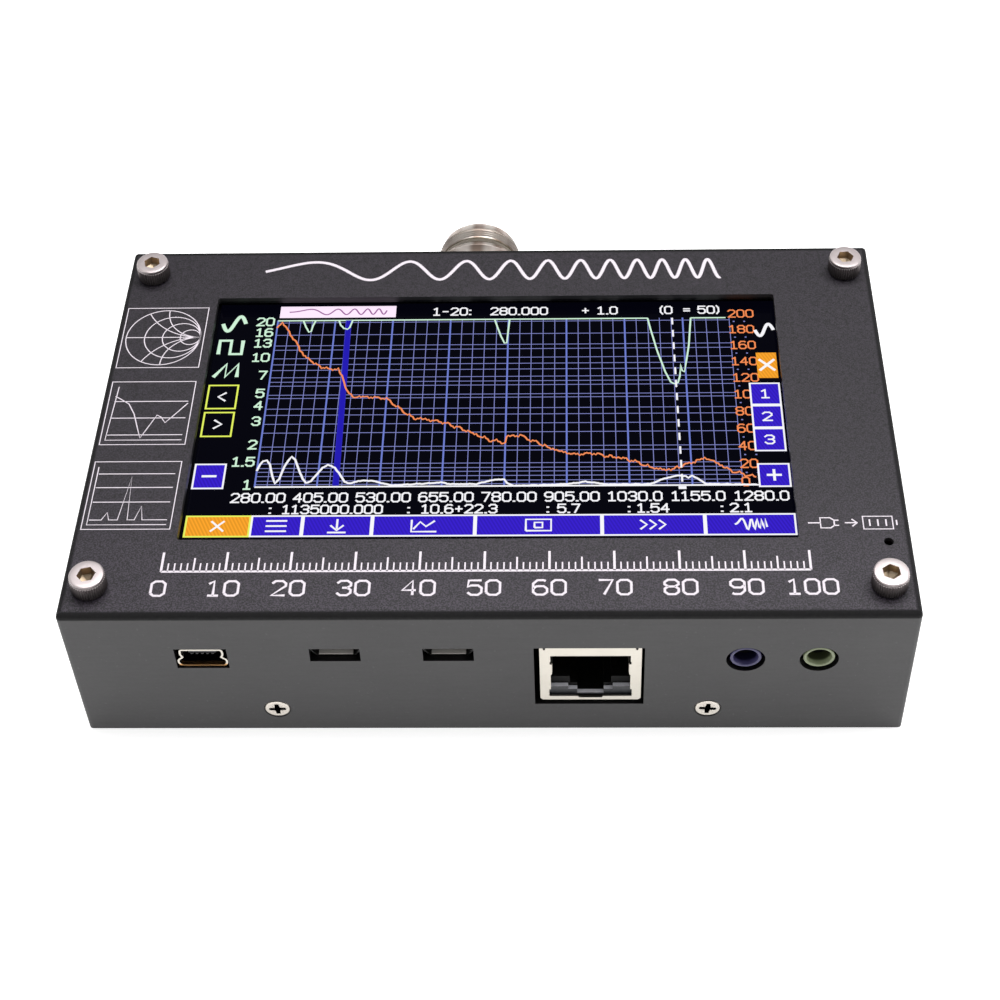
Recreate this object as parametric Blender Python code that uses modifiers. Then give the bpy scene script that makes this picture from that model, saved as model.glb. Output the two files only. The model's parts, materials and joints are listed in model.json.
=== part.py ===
"""Handheld antenna analyzer: folded sheet case, touch display, front sockets, rear antenna jack.

Units are metres, +Z is up. The origin is on the resting face, below the middle of the case.
X runs along the width, -Y is the front with the row of sockets, +Y the back with the antenna jack.
"""
import math

import bmesh
import bpy
from mathutils import Matrix, Vector

# Clearances
GAP = 0.0003
OVERRUN = 0.003
WELD = 0.000001

# Lit area of the display, and the case around it
LIT_WIDTH = 0.09504
LIT_DEPTH = 0.05386
LIT_SHIFT = -0.00035
CASE_SIDE_MARGIN = 0.01673
CASE_FRONT_MARGIN = 0.01437
CASE_REAR_MARGIN = 0.01157
CASE_HEIGHT = 0.0292
SHEET = 0.0012
BEND_RADIUS = 0.0007
TAB_WIDTH = 0.010
TAB_HEIGHT_SHARE = 0.74

# Window and display stack
WINDOW_MARGIN = 0.0001
WINDOW_LAP = 0.0003
WINDOW_CORNER = 0.0004
DISPLAY_RECESS = 0.0023
MODULE_SIDE = 0.00523
MODULE_REAR = 0.0044
MODULE_FRONT = 0.00894
TOUCH_THICKNESS = 0.0009
PANEL_THICKNESS = 0.0007
BACKLIGHT_THICKNESS = 0.0015

# Main board
BOARD_THICKNESS = 0.0016
BOARD_EDGE_GAP = 0.0005

# Corner screws and what they pass through
M3_RADIUS = 0.0015
CORNER_INSET_SIDE = 0.00445
CORNER_INSET_FRONT = 0.0055
CORNER_INSET_REAR = 0.0062
CAP_HEAD_RADIUS = 0.00275
CAP_HEAD_HEIGHT = 0.003
CAP_SOCKET_FLATS = 0.0025
CAP_SOCKET_DEPTH = 0.0016
CAP_SCREW_LENGTH = 0.010
CAP_HEAD_CHAMFER = 0.0002
SPACER_RADIUS = 0.00275
M3_NUT_FLATS = 0.0055
M3_NUT_THICKNESS = 0.0024

# Countersunk side screws
SIDE_SCREW_FRONT_SHARE = 0.523
SIDE_SCREW_REAR_SHARE = 0.42
SIDE_SCREW_HEIGHT_SHARE = 0.414
M25_RADIUS = 0.00125
CSK_HEAD_RADIUS = 0.0019
CSK_SCREW_LENGTH = 0.006
CSK_RECESS_LENGTH = 0.0023
CSK_RECESS_WIDTH = 0.0006
CSK_RECESS_DEPTH = 0.0010

# Radio board and its headers
PILLAR_HEIGHT = 0.0063
RADIO_BOARD_THICKNESS = 0.0016
RADIO_BOARD_FRONT_SHARE = -0.30
PAN_HEAD_RADIUS = 0.00275
PAN_HEAD_HEIGHT = 0.0022
PAN_SCREW_LENGTH = 0.005
HEADER_X_SHARE = 0.375
HEADER_Y_SHARE = 0.20
HEADER_PITCH = 0.00254
HEADER_PINS = 12
HEADER_WIDTH = 0.0025
HEADER_STRIP_HEIGHT = 0.002
HEADER_PIN = 0.00064
HEADER_PIN_REACH = 0.0028
HEADER_SOCKET_DEPTH = 0.0032
CAN_WIDTH = 0.030
CAN_DEPTH = 0.020
CAN_HEIGHT = 0.0043
CAN_SHEET = 0.0004
CAN_Y_SHARE = 0.30
CHIP_THICKNESS = 0.0011
RADIO_CHIP_SIDE = 0.007
PROCESSOR_SIDE = 0.013
PROCESSOR_Y_SHARE = 0.20

# Antenna jack, turned about an axis along Y
JACK_X_SHARE = -0.0638
JACK_RISE = 0.0011
JACK_STUB_RADIUS = 0.006
JACK_STUB_LENGTH = 0.0050
JACK_COLLAR_RADIUS = 0.0095
JACK_COLLAR_LENGTH = 0.0063
JACK_COLLAR_CHAMFER = 0.0004
JACK_HEX_FLATS = 0.019
JACK_HEX_THICKNESS = 0.0033
JACK_NECK_RADIUS = 0.0070
JACK_NECK_LENGTH = 0.0012
JACK_THREAD_RADIUS = 0.0079
JACK_THREAD_LENGTH = 0.0033
JACK_BARREL_RADIUS = 0.0076
JACK_BARREL_LENGTH = 0.0012
JACK_LEAD_RADIUS = 0.0070
JACK_LEAD_LENGTH = 0.0018
JACK_RIM_RADIUS = 0.0065
JACK_RIM_LENGTH = 0.0009
JACK_BORE_RADIUS = 0.0041
JACK_BORE_DEPTH = 0.0093
JACK_INSULATOR_RADIUS = 0.0033
JACK_CONTACT_RADIUS = 0.0015
JACK_CONTACT_BORE = 0.0008
JACK_CONTACT_BORE_DEPTH = 0.005
JACK_CONTACT_RECESS = 0.0015
JACK_CONTACT_WAIST = 0.0012
JACK_TAIL_RADIUS = 0.0008
JACK_TAIL_LENGTH = 0.007
JACK_NUT_FLATS = 0.016
JACK_NUT_THICKNESS = 0.003
JACK_WASHER_RADIUS = 0.0085
JACK_WASHER_THICKNESS = 0.0006
JACK_NOTCH_GAP = 0.001

# Front sockets, left to right
PORT_HOLE_GAP = 0.0004
PORT_SHELL = 0.0003
MINI_USB_X_SHARE = -0.680
MINI_USB_WIDTH = 0.0072
MINI_USB_TOP_WIDTH = 0.0059
MINI_USB_HEIGHT = 0.0040
MINI_USB_STEP = 0.0016
MINI_USB_DEPTH = 0.009
MINI_USB_DROP = 0.0006
MINI_USB_RECESS = 0.0003
MINI_TONGUE_WIDTH = 0.0036
MINI_TONGUE_HEIGHT = 0.0012
MICRO_USB_LEFT_X_SHARE = -0.3627
MICRO_USB_RIGHT_X_SHARE = -0.095
MICRO_USB_WIDTH = 0.0075
MICRO_USB_HEIGHT = 0.0026
MICRO_USB_DEPTH = 0.0055
MICRO_SLOT_WIDTH = 0.0077
MICRO_SLOT_HEIGHT = 0.0031
MICRO_SLOT_RISE = 0.0002
MICRO_TONGUE_WIDTH = 0.0038
MICRO_TONGUE_HEIGHT = 0.0006
TONGUE_BLOCK_DEPTH = 0.0016
NETWORK_X_SHARE = 0.2397
NETWORK_WIDTH = 0.0155
NETWORK_HEIGHT = 0.0135
NETWORK_DEPTH = 0.0213
NETWORK_RECESS = 0.0002
NETWORK_HOLE_LEFT_GAP = 0.00085
NETWORK_HOLE_RIGHT_GAP = 0.00045
NETWORK_HOLE_LOW_GAP = 0.0009
NETWORK_MOUTH_WIDTH = 0.0122
NETWORK_MOUTH_TOP = 0.0021
NETWORK_SHELF_HEIGHT = 0.0070
NETWORK_STEP_WIDTH = 0.0064
NETWORK_STEP_HEIGHT = 0.0017
NETWORK_LATCH_WIDTH = 0.0041
NETWORK_LATCH_HEIGHT = 0.0017
NETWORK_LIGHT_WIDTH = 0.0127
NETWORK_LIGHT_DROP = 0.0017
NETWORK_LIGHT_STEP_WIDTH = 0.0069
NETWORK_LIGHT_STEP = 0.0007
NETWORK_LIGHT_DEPTH = 0.0007
NETWORK_PLUG_DEPTH = 0.0130
CONTACT_COUNT = 8
CONTACT_PITCH = 0.00102
CONTACT_WIDTH = 0.00045
CONTACT_THICKNESS = 0.0003
CONTACT_LENGTH = 0.0065
CONTACT_BAR = 0.0012
CONTACT_TILT = math.radians(-14)
AUDIO_BLUE_X_SHARE = 0.6039
AUDIO_GREEN_X_SHARE = 0.7759
AUDIO_HOLE_RADIUS = 0.00295
AUDIO_HOLE_DROP = 0.0031
AUDIO_BARREL_RADIUS = 0.0024
AUDIO_BARREL_DROP = 0.0028
AUDIO_BARREL_RECESS = 0.0005
AUDIO_BORE_RADIUS = 0.00175
AUDIO_BORE_DEPTH = 0.0115
AUDIO_BODY_WIDTH = 0.0062
AUDIO_BODY_HEIGHT = 0.0051
AUDIO_BODY_DEPTH = 0.0118

# Charge light
LIGHT_INSET_SIDE = 0.00355
LIGHT_INSET_FRONT = 0.0138
LIGHT_HOLE_RADIUS = 0.00075
LIGHT_RADIUS = 0.00095
LIGHT_FLANGE_RADIUS = 0.0012
LIGHT_FLANGE_HEIGHT = 0.0005
LIGHT_BODY_HEIGHT = 0.0021

# Tactile switches under the main board
TACT_X_SHARE = -0.6226
TACT_USER_Y_SHARE = 0.25
TACT_RESET_Y_SHARE = 0.55
TACT_SIDE = 0.0062
TACT_HEIGHT = 0.0034
TACT_LIP = 0.0008
TACT_STEM_RADIUS = 0.0017
TACT_FLANGE_RADIUS = 0.0022
TACT_FLANGE_HEIGHT = 0.0010
TACT_PROUD = 0.0012
TACT_TRAVEL = 0.00025

# Power switch in the rear wall, rocking about a vertical axis
ROCKER_SCREW_GAP = 0.0022
ROCKER_BEZEL_LIP = 0.0007
ROCKER_BEZEL_RISE = 0.0011
ROCKER_BEZEL_THICKNESS = 0.0018
ROCKER_BEZEL_CORNER = 0.0012
ROCKER_BODY_WIDTH = 0.0138
ROCKER_BODY_HEIGHT_SHARE = 0.7155
ROCKER_BODY_DEPTH = 0.0112
ROCKER_WALL = 0.0005
ROCKER_SIDE_GAP = 0.0011
ROCKER_PIVOT_INSET = 0.0024
ROCKER_END_RISE = 0.0050
ROCKER_MIDDLE_RISE = 0.0039
ROCKER_TAIL = 0.0025
ROCKER_TAIL_SHARE = 0.57
ROCKER_PIN_RADIUS = 0.0007
ROCKER_TILT = math.radians(10)

# Battery and charger on the base
BATTERY_X_SHARE = -0.2335
BATTERY_Y_SHARE = 0.2256
BATTERY_WIDTH_SHARE = 0.545
BATTERY_DEPTH_SHARE = 0.526
BATTERY_HEIGHT_SHARE = 0.69
BATTERY_EDGE = 0.0018
CHARGER_Y_SHARE = -0.664
CHARGER_WIDTH = 0.022
CHARGER_DEPTH = 0.017
CHARGER_THICKNESS = 0.0012
LEAD_RADIUS = 0.0008

# Roundness of turned pieces
SCREW_SIDES = 24
JACK_SIDES = 48
HOLE_SIDES = 32
BEND_STEPS = 5
LEAD_STEPS = 16

# Places and faces worked out from the sizes above
CASE_WIDTH = LIT_WIDTH + 2 * CASE_SIDE_MARGIN
CASE_DEPTH = LIT_DEPTH + CASE_FRONT_MARGIN + CASE_REAR_MARGIN
HALF_WIDTH = CASE_WIDTH / 2
HALF_DEPTH = CASE_DEPTH / 2
LIT_X = LIT_SHIFT
LIT_Y = (CASE_FRONT_MARGIN - CASE_REAR_MARGIN) / 2
INNER_WIDTH = HALF_WIDTH - SHEET
INNER_DEPTH = HALF_DEPTH - SHEET
COVER_UNDER = CASE_HEIGHT - SHEET
TOUCH_TOP = CASE_HEIGHT - DISPLAY_RECESS
PANEL_TOP = TOUCH_TOP - TOUCH_THICKNESS - GAP
BACKLIGHT_TOP = PANEL_TOP - PANEL_THICKNESS - GAP
BOARD_TOP = BACKLIGHT_TOP - BACKLIGHT_THICKNESS - GAP
BOARD_UNDER = BOARD_TOP - BOARD_THICKNESS
RADIO_TOP = BOARD_UNDER - PILLAR_HEIGHT - 2 * GAP
RADIO_BOARD_Z = RADIO_TOP - RADIO_BOARD_THICKNESS
LOWER_ROOM = RADIO_BOARD_Z - SHEET
CORNER_X = HALF_WIDTH - CORNER_INSET_SIDE
FRONT_CORNER_Y = CORNER_INSET_FRONT - HALF_DEPTH
REAR_CORNER_Y = HALF_DEPTH - CORNER_INSET_REAR
M3_HOLE_RADIUS = M3_RADIUS + GAP
M25_HOLE_RADIUS = M25_RADIUS + GAP
SIDE_SCREW_Z = RADIO_BOARD_Z * SIDE_SCREW_HEIGHT_SHARE
MINI_USB_X = HALF_WIDTH * MINI_USB_X_SHARE
MICRO_USB_LEFT_X = HALF_WIDTH * MICRO_USB_LEFT_X_SHARE
MICRO_USB_RIGHT_X = HALF_WIDTH * MICRO_USB_RIGHT_X_SHARE
NETWORK_X = HALF_WIDTH * NETWORK_X_SHARE
AUDIO_BLUE_X = HALF_WIDTH * AUDIO_BLUE_X_SHARE
AUDIO_GREEN_X = HALF_WIDTH * AUDIO_GREEN_X_SHARE
JACK_X = HALF_WIDTH * JACK_X_SHARE
JACK_Z = RADIO_TOP + JACK_RISE
LIGHT_X = HALF_WIDTH - LIGHT_INSET_SIDE
LIGHT_Y = LIGHT_INSET_FRONT - HALF_DEPTH
HEADER_X = HALF_WIDTH * HEADER_X_SHARE
HEADER_Y = HALF_DEPTH * HEADER_Y_SHARE
TACT_X = HALF_WIDTH * TACT_X_SHARE
CAN_Y = HALF_DEPTH * CAN_Y_SHARE
CHARGER_Y = HALF_DEPTH * CHARGER_Y_SHARE
ROCKER_BODY_HEIGHT = LOWER_ROOM * ROCKER_BODY_HEIGHT_SHARE
ROCKER_X = CORNER_X - PAN_HEAD_RADIUS - ROCKER_SCREW_GAP - ROCKER_BODY_WIDTH / 2
ROCKER_Z = SHEET + LOWER_ROOM / 2
LEFT_RIGHT = {"left": -1, "right": 1}

COLOURS = {
    "case_black": ((0.055, 0.050, 0.057), 0.55, 0.0),
    "nickel": ((0.62, 0.58, 0.53), 0.28, 1.0),
    "steel": ((0.60, 0.59, 0.58), 0.32, 1.0),
    "brass": ((0.72, 0.55, 0.25), 0.30, 1.0),
    "board_green": ((0.02, 0.11, 0.05), 0.45, 0.0),
    "board_blue": ((0.02, 0.05, 0.16), 0.45, 0.0),
    "glass_dark": ((0.010, 0.010, 0.014), 0.08, 0.0),
    "plastic_black": ((0.012, 0.012, 0.013), 0.45, 0.0),
    "plastic_white": ((0.75, 0.75, 0.72), 0.45, 0.0),
    "jack_blue": ((0.035, 0.040, 0.16), 0.38, 0.0),
    "jack_green": ((0.20, 0.26, 0.12), 0.38, 0.0),
    "light_red": ((0.60, 0.05, 0.03), 0.20, 0.0),
    "teflon": ((0.80, 0.79, 0.76), 0.50, 0.0),
    "battery_wrap": ((0.36, 0.38, 0.42), 0.35, 0.2),
    "lead_red": ((0.45, 0.02, 0.02), 0.50, 0.0),
    "screen_grey": ((0.30, 0.30, 0.31), 0.40, 0.3),
}


def clear_scene():
    for item in list(bpy.data.objects):
        bpy.data.objects.remove(item)


def new_collection(name):
    collection = bpy.data.collections.new(name)
    bpy.context.scene.collection.children.link(collection)
    return collection


def finish_material(name):
    existing = bpy.data.materials.get(name)
    if existing:
        return existing
    colour, roughness, metallic = COLOURS[name]
    material = bpy.data.materials.new(name)
    material.use_nodes = True
    shader = material.node_tree.nodes["Principled BSDF"]
    shader.inputs["Base Color"].default_value = (*colour, 1)
    shader.inputs["Roughness"].default_value = roughness
    shader.inputs["Metallic"].default_value = metallic
    return material


def add_part(name, mesh, finish, location=(0, 0, 0), rotation=(0, 0, 0)):
    """A sub-part: one object with its own finish."""
    part = bpy.data.objects.new(name, mesh)
    part.location = location
    part.rotation_euler = rotation
    mesh.materials.clear()
    mesh.materials.append(finish_material(finish))
    PARTS.objects.link(part)
    return part


def add_tool(mesh, location=(0, 0, 0), rotation=(0, 0, 0)):
    """A hidden shape that cuts another or is fused to it."""
    tool = bpy.data.objects.new("tool", mesh)
    tool.location = location
    tool.rotation_euler = rotation
    tool.hide_render = True
    tool.display_type = "WIRE"
    TOOLS.objects.link(tool)
    return tool


def combine(part, operation, tools):
    for tool in tools:
        modifier = part.modifiers.new(operation.lower(), "BOOLEAN")
        modifier.operation = operation
        modifier.solver = "EXACT"
        modifier.object = tool


def cut(part, *tools):
    combine(part, "DIFFERENCE", tools)


def fuse(part, *tools):
    combine(part, "UNION", tools)


def round_edges(part, radius, steps, angle=math.radians(40)):
    modifier = part.modifiers.new("rounded", "BEVEL")
    modifier.width = radius
    modifier.segments = steps
    modifier.limit_method = "ANGLE"
    modifier.angle_limit = angle


def smooth(part, angle=math.radians(35)):
    part.data.shade_smooth()
    part.data.set_sharp_from_angle(angle=angle)


def block_mesh(*sizes):
    """One block, or several apart from each other: each is (size, centre)."""
    shape = bmesh.new()
    for size, centre in sizes:
        place = Matrix.Translation(centre) @ Matrix.Diagonal((*size, 1))
        bmesh.ops.create_cube(shape, size=1, matrix=place)
    mesh = bpy.data.meshes.new("block")
    shape.to_mesh(mesh)
    shape.free()
    return mesh


def block(size, centre=(0, 0, 0)):
    return block_mesh((size, centre))


def middle_and_size(low, high):
    low, high = Vector(low), Vector(high)
    return (low + high) / 2, high - low


def rod(radius, length, sides, end_radius=None):
    """A cylinder or cone on Z about its middle; end_radius is at the top."""
    shape = bmesh.new()
    top = radius if end_radius is None else end_radius
    bmesh.ops.create_cone(shape, cap_ends=True, segments=sides, radius1=radius, radius2=top, depth=length)
    mesh = bpy.data.meshes.new("rod")
    shape.to_mesh(mesh)
    shape.free()
    return mesh


def hexagon(flats, length):
    return rod(flats / math.sqrt(3), length, 6)


def turned(name, profile, finish, location, rotation, sides, closed=False):
    """A profile of (radius, height) points, down its outer side, spun about Z."""
    mesh = bpy.data.meshes.new(name)
    shape = bmesh.new()
    corners = [shape.verts.new((radius, 0, height)) for radius, height in profile]
    for start, end in zip(corners, corners[1:]):
        shape.edges.new((start, end))
    if closed:
        shape.edges.new((corners[-1], corners[0]))
    shape.to_mesh(mesh)
    shape.free()
    part = add_part(name, mesh, finish, location, rotation)
    spin = part.modifiers.new("spin", "SCREW")
    spin.steps = sides
    spin.render_steps = sides
    spin.use_merge_vertices = True
    spin.merge_threshold = WELD
    spin.use_smooth_shade = False
    return part


def outline_mesh(points, thickness):
    """A flat outline in XY, made solid evenly on both sides of Z = 0."""
    curve = bpy.data.curves.new("outline", "CURVE")
    curve.dimensions = "2D"
    curve.fill_mode = "BOTH"
    curve.extrude = thickness / 2
    spline = curve.splines.new("POLY")
    spline.points.add(len(points) - 1)
    for corner, (x, y) in zip(spline.points, points):
        corner.co = (x, y, 0, 1)
    spline.use_cyclic_u = True
    return mesh_from_curve(curve)


def mesh_from_curve(curve):
    holder = bpy.data.objects.new("curve", curve)
    bpy.context.scene.collection.objects.link(holder)
    evaluated = holder.evaluated_get(bpy.context.evaluated_depsgraph_get())
    mesh = bpy.data.meshes.new_from_object(evaluated)
    shape = bmesh.new()
    shape.from_mesh(mesh)
    bmesh.ops.remove_doubles(shape, verts=shape.verts, dist=WELD)
    shape.to_mesh(mesh)
    shape.free()
    bpy.data.objects.remove(holder)
    bpy.data.curves.remove(curve)
    return mesh


def rounded_rectangle(width, depth, radius, steps=4):
    points = []
    for turn, (side_x, side_y) in enumerate(((1, 1), (-1, 1), (-1, -1), (1, -1))):
        centre_x = side_x * (width / 2 - radius)
        centre_y = side_y * (depth / 2 - radius)
        for step in range(steps + 1):
            angle = math.radians(90) * (turn + step / steps)
            points.append((centre_x + radius * math.cos(angle), centre_y + radius * math.sin(angle)))
    return points


def corner_places():
    """The four corner screws: name ending, x and y."""
    for row, y in (("front", FRONT_CORNER_Y), ("rear", REAR_CORNER_Y)):
        for side, sign in LEFT_RIGHT.items():
            yield f"{row}_{side}", sign * CORNER_X, y


TO_FRONT = (math.radians(90), 0, 0)
TO_BACK = (math.radians(-90), 0, 0)
HEX_TO_BACK = (math.radians(-90), math.radians(30), 0)


def side_screw_places():
    """The four countersunk screws: name ending, x, wall sign and the turn that points Z outwards."""
    rows = (("front", -1, TO_FRONT, SIDE_SCREW_FRONT_SHARE), ("rear", 1, TO_BACK, SIDE_SCREW_REAR_SHARE))
    for row, sign_y, turn, share in rows:
        for side, sign_x in LEFT_RIGHT.items():
            yield f"{row}_{side}", sign_x * HALF_WIDTH * share, sign_y, turn


def countersunk_profile(extra, length):
    """Head and shank with its flat face at height 0, wider all round by extra."""
    cone = CSK_HEAD_RADIUS - M25_RADIUS
    shank = M25_RADIUS + extra
    return [(0, 0), (CSK_HEAD_RADIUS + extra, 0), (shank, -cone), (shank, -length), (0, -length)]


def wall_hole(size, centre_x, centre_z):
    """A square-cornered hole through the front wall."""
    width, height = size
    hole = block((width, SHEET + 2 * OVERRUN, height))
    return add_tool(hole, (centre_x, SHEET / 2 - HALF_DEPTH, centre_z))


def network_hole():
    """The hole round the network socket, wider on the left than on the right."""
    top = BOARD_UNDER - GAP / 2
    low = BOARD_UNDER - GAP - NETWORK_HEIGHT - NETWORK_HOLE_LOW_GAP
    left = NETWORK_X - NETWORK_WIDTH / 2 - NETWORK_HOLE_LEFT_GAP
    right = NETWORK_X + NETWORK_WIDTH / 2 + NETWORK_HOLE_RIGHT_GAP
    return wall_hole((right - left, top - low), (left + right) / 2, (top + low) / 2)


def round_wall_hole(radius, x, y, z, sides=HOLE_SIDES):
    return add_tool(rod(radius, SHEET + 2 * OVERRUN, sides), (x, y, z), TO_FRONT)


def cover_holes():
    """Every hole in the cover: top, front wall, back wall and right wall."""
    top_middle = CASE_HEIGHT - SHEET / 2
    window = outline_mesh(
        rounded_rectangle(LIT_WIDTH + 2 * WINDOW_MARGIN, LIT_DEPTH - 2 * WINDOW_LAP, WINDOW_CORNER),
        SHEET + 2 * OVERRUN,
    )
    yield add_tool(window, (LIT_X, LIT_Y, top_middle))
    for _, x, y in corner_places():
        yield add_tool(rod(M3_HOLE_RADIUS, SHEET + 2 * OVERRUN, SCREW_SIDES), (x, y, top_middle))
    yield add_tool(rod(LIGHT_HOLE_RADIUS, SHEET + 2 * OVERRUN, SCREW_SIDES), (LIGHT_X, LIGHT_Y, top_middle))

    mini_size = (MINI_USB_WIDTH + 2 * PORT_HOLE_GAP, MINI_USB_HEIGHT + 2 * PORT_HOLE_GAP)
    yield wall_hole(mini_size, MINI_USB_X, BOARD_UNDER - MINI_USB_DROP - MINI_USB_HEIGHT / 2)
    slot_z = BOARD_UNDER - MICRO_SLOT_RISE - MICRO_SLOT_HEIGHT / 2
    for x in (MICRO_USB_LEFT_X, MICRO_USB_RIGHT_X):
        yield wall_hole((MICRO_SLOT_WIDTH, MICRO_SLOT_HEIGHT), x, slot_z)
    yield network_hole()
    for x in (AUDIO_BLUE_X, AUDIO_GREEN_X):
        yield round_wall_hole(AUDIO_HOLE_RADIUS, x, -HALF_DEPTH, BOARD_UNDER - AUDIO_HOLE_DROP)

    yield round_wall_hole(JACK_STUB_RADIUS + GAP, JACK_X, HALF_DEPTH, JACK_Z)
    rocker_hole = (ROCKER_BODY_WIDTH + 2 * GAP, SHEET + 2 * OVERRUN, ROCKER_BODY_HEIGHT + 2 * GAP)
    yield add_tool(block(rocker_hole), (ROCKER_X, HALF_DEPTH - SHEET / 2, ROCKER_Z))
    charger_z = SHEET + GAP + CHARGER_THICKNESS + GAP + MICRO_USB_HEIGHT / 2
    charger_hole = (SHEET + 2 * OVERRUN, MICRO_SLOT_WIDTH + GAP, MICRO_SLOT_HEIGHT)
    yield add_tool(block(charger_hole), (HALF_WIDTH - SHEET / 2, CHARGER_Y, charger_z))
    for _, x, sign, turn in side_screw_places():
        yield countersink_tool(x, sign, turn)


def countersink_tool(x, sign, turn):
    """The countersunk hole that a side screw sits in, run past the wall on both sides."""
    cone = CSK_HEAD_RADIUS - M25_RADIUS
    mouth = rod(M25_HOLE_RADIUS, 2 * cone, SCREW_SIDES, CSK_HEAD_RADIUS + GAP + cone)
    tool = add_tool(mouth, (x, sign * HALF_DEPTH, SIDE_SCREW_Z), turn)
    shank = rod(M25_HOLE_RADIUS, 2 * (SHEET + OVERRUN), SCREW_SIDES)
    fuse(tool, add_tool(shank, (x, sign * (HALF_DEPTH - cone), SIDE_SCREW_Z), turn))
    return tool


def make_cover():
    """Top and four walls in one piece, open below."""
    low = -OVERRUN
    middle, size = middle_and_size((-HALF_WIDTH, -HALF_DEPTH, low), (HALF_WIDTH, HALF_DEPTH, CASE_HEIGHT))
    cover = add_part("cover", block(size), "case_black", middle)
    round_edges(cover, BEND_RADIUS, BEND_STEPS)
    inside, room = middle_and_size((-INNER_WIDTH, -INNER_DEPTH, low), (INNER_WIDTH, INNER_DEPTH, COVER_UNDER))
    below = (CASE_WIDTH + 2 * OVERRUN, CASE_DEPTH + 2 * OVERRUN, 2 * OVERRUN)
    cut(cover, add_tool(block(below), (0, 0, low)), add_tool(block(room), inside), *cover_holes())
    smooth(cover)


def make_base():
    half_width = INNER_WIDTH - GAP
    half_depth = INNER_DEPTH - GAP
    base = add_part("base", block((2 * half_width, 2 * half_depth, SHEET), (0, 0, SHEET / 2)), "case_black")
    height = RADIO_BOARD_Z * TAB_HEIGHT_SHARE
    tabs = [
        ((TAB_WIDTH, SHEET, height), (x, sign * (half_depth - SHEET / 2), height / 2))
        for _, x, sign, _ in side_screw_places()
    ]
    fuse(base, add_tool(block_mesh(*tabs)))
    for _, x, sign, turn in side_screw_places():
        hole = rod(M25_HOLE_RADIUS, SHEET + 2 * OVERRUN, SCREW_SIDES)
        cut(base, add_tool(hole, (x, sign * half_depth, SIDE_SCREW_Z), turn))


def make_cover_screws():
    shank = CAP_SCREW_LENGTH
    head = CAP_HEAD_RADIUS
    profile = [
        (0, CAP_HEAD_HEIGHT),
        (head - CAP_HEAD_CHAMFER, CAP_HEAD_HEIGHT),
        (head, CAP_HEAD_HEIGHT - CAP_HEAD_CHAMFER),
        (head, 0),
        (M3_RADIUS, 0),
        (M3_RADIUS, -shank),
        (0, -shank),
    ]
    for ending, x, y in corner_places():
        seat = (x, y, CASE_HEIGHT + GAP)
        screw = turned(f"cover_screw_{ending}", profile, "steel", seat, (0, 0, 0), SCREW_SIDES)
        socket = hexagon(CAP_SOCKET_FLATS, 2 * CAP_SOCKET_DEPTH)
        cut(screw, add_tool(socket, (x, y, CASE_HEIGHT + GAP + CAP_HEAD_HEIGHT)))


def make_base_screws():
    profile = countersunk_profile(0, CSK_SCREW_LENGTH)
    arm = (CSK_RECESS_LENGTH, CSK_RECESS_WIDTH, 2 * CSK_RECESS_DEPTH)
    for ending, x, sign, turn in side_screw_places():
        face = (x, sign * HALF_DEPTH, SIDE_SCREW_Z)
        screw = turned(f"base_screw_{ending}", profile, "nickel", face, turn, SCREW_SIDES)
        cross = add_tool(block(arm), face, turn)
        fuse(cross, add_tool(block((arm[1], arm[0], arm[2])), face, turn))
        cut(screw, cross)


def make_spacers():
    height = COVER_UNDER - BOARD_TOP - 2 * GAP
    low = BOARD_TOP + GAP
    outer, bore = SPACER_RADIUS, M3_HOLE_RADIUS
    profile = [(outer, height), (outer, 0), (bore, 0), (bore, height)]
    for ending, x, y in corner_places():
        turned(f"spacer_{ending}", profile, "nickel", (x, y, low), (0, 0, 0), SCREW_SIDES, closed=True)


def hex_nut(name, flats, thickness, bore, finish, location, rotation=(0, 0, 0), sides=SCREW_SIDES):
    nut = add_part(name, hexagon(flats, thickness), finish, location, rotation)
    cut(nut, add_tool(rod(bore, thickness + 2 * OVERRUN, sides), location, rotation))
    return nut


def make_nuts_and_pillars():
    flats, bore = M3_NUT_FLATS, M3_HOLE_RADIUS
    for side, sign in LEFT_RIGHT.items():
        nut_place = (sign * CORNER_X, FRONT_CORNER_Y, BOARD_UNDER - GAP - M3_NUT_THICKNESS / 2)
        hex_nut(f"board_nut_front_{side}", flats, M3_NUT_THICKNESS, bore, "nickel", nut_place)
        pillar_place = (sign * CORNER_X, REAR_CORNER_Y, RADIO_TOP + GAP + PILLAR_HEIGHT / 2)
        hex_nut(f"board_pillar_rear_{side}", flats, PILLAR_HEIGHT, bore, "brass", pillar_place)
        make_radio_board_screw(side, sign)


def make_radio_board_screw(side, sign):
    head, height = PAN_HEAD_RADIUS, PAN_HEAD_HEIGHT
    profile = [
        (0, PAN_SCREW_LENGTH),
        (M3_RADIUS, PAN_SCREW_LENGTH),
        (M3_RADIUS, 0),
        (head, 0),
        (head, -height / 2),
        (head / 2, -height),
        (0, -height),
    ]
    seat = (sign * CORNER_X, REAR_CORNER_Y, RADIO_BOARD_Z - GAP)
    turned(f"radio_board_screw_{side}", profile, "steel", seat, (0, 0, 0), SCREW_SIDES)


def notch_for_jack(board, board_back, z):
    """Takes the board back from the stub and nut of the antenna jack."""
    front = INNER_DEPTH - GAP - JACK_STUB_LENGTH - JACK_NOTCH_GAP
    depth = board_back + OVERRUN - front
    width = 2 * (JACK_NUT_FLATS / math.sqrt(3) + JACK_NOTCH_GAP)
    centre = (JACK_X, front + depth / 2, z)
    cut(board, add_tool(block((width, depth, BOARD_THICKNESS + 2 * OVERRUN)), centre))


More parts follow.
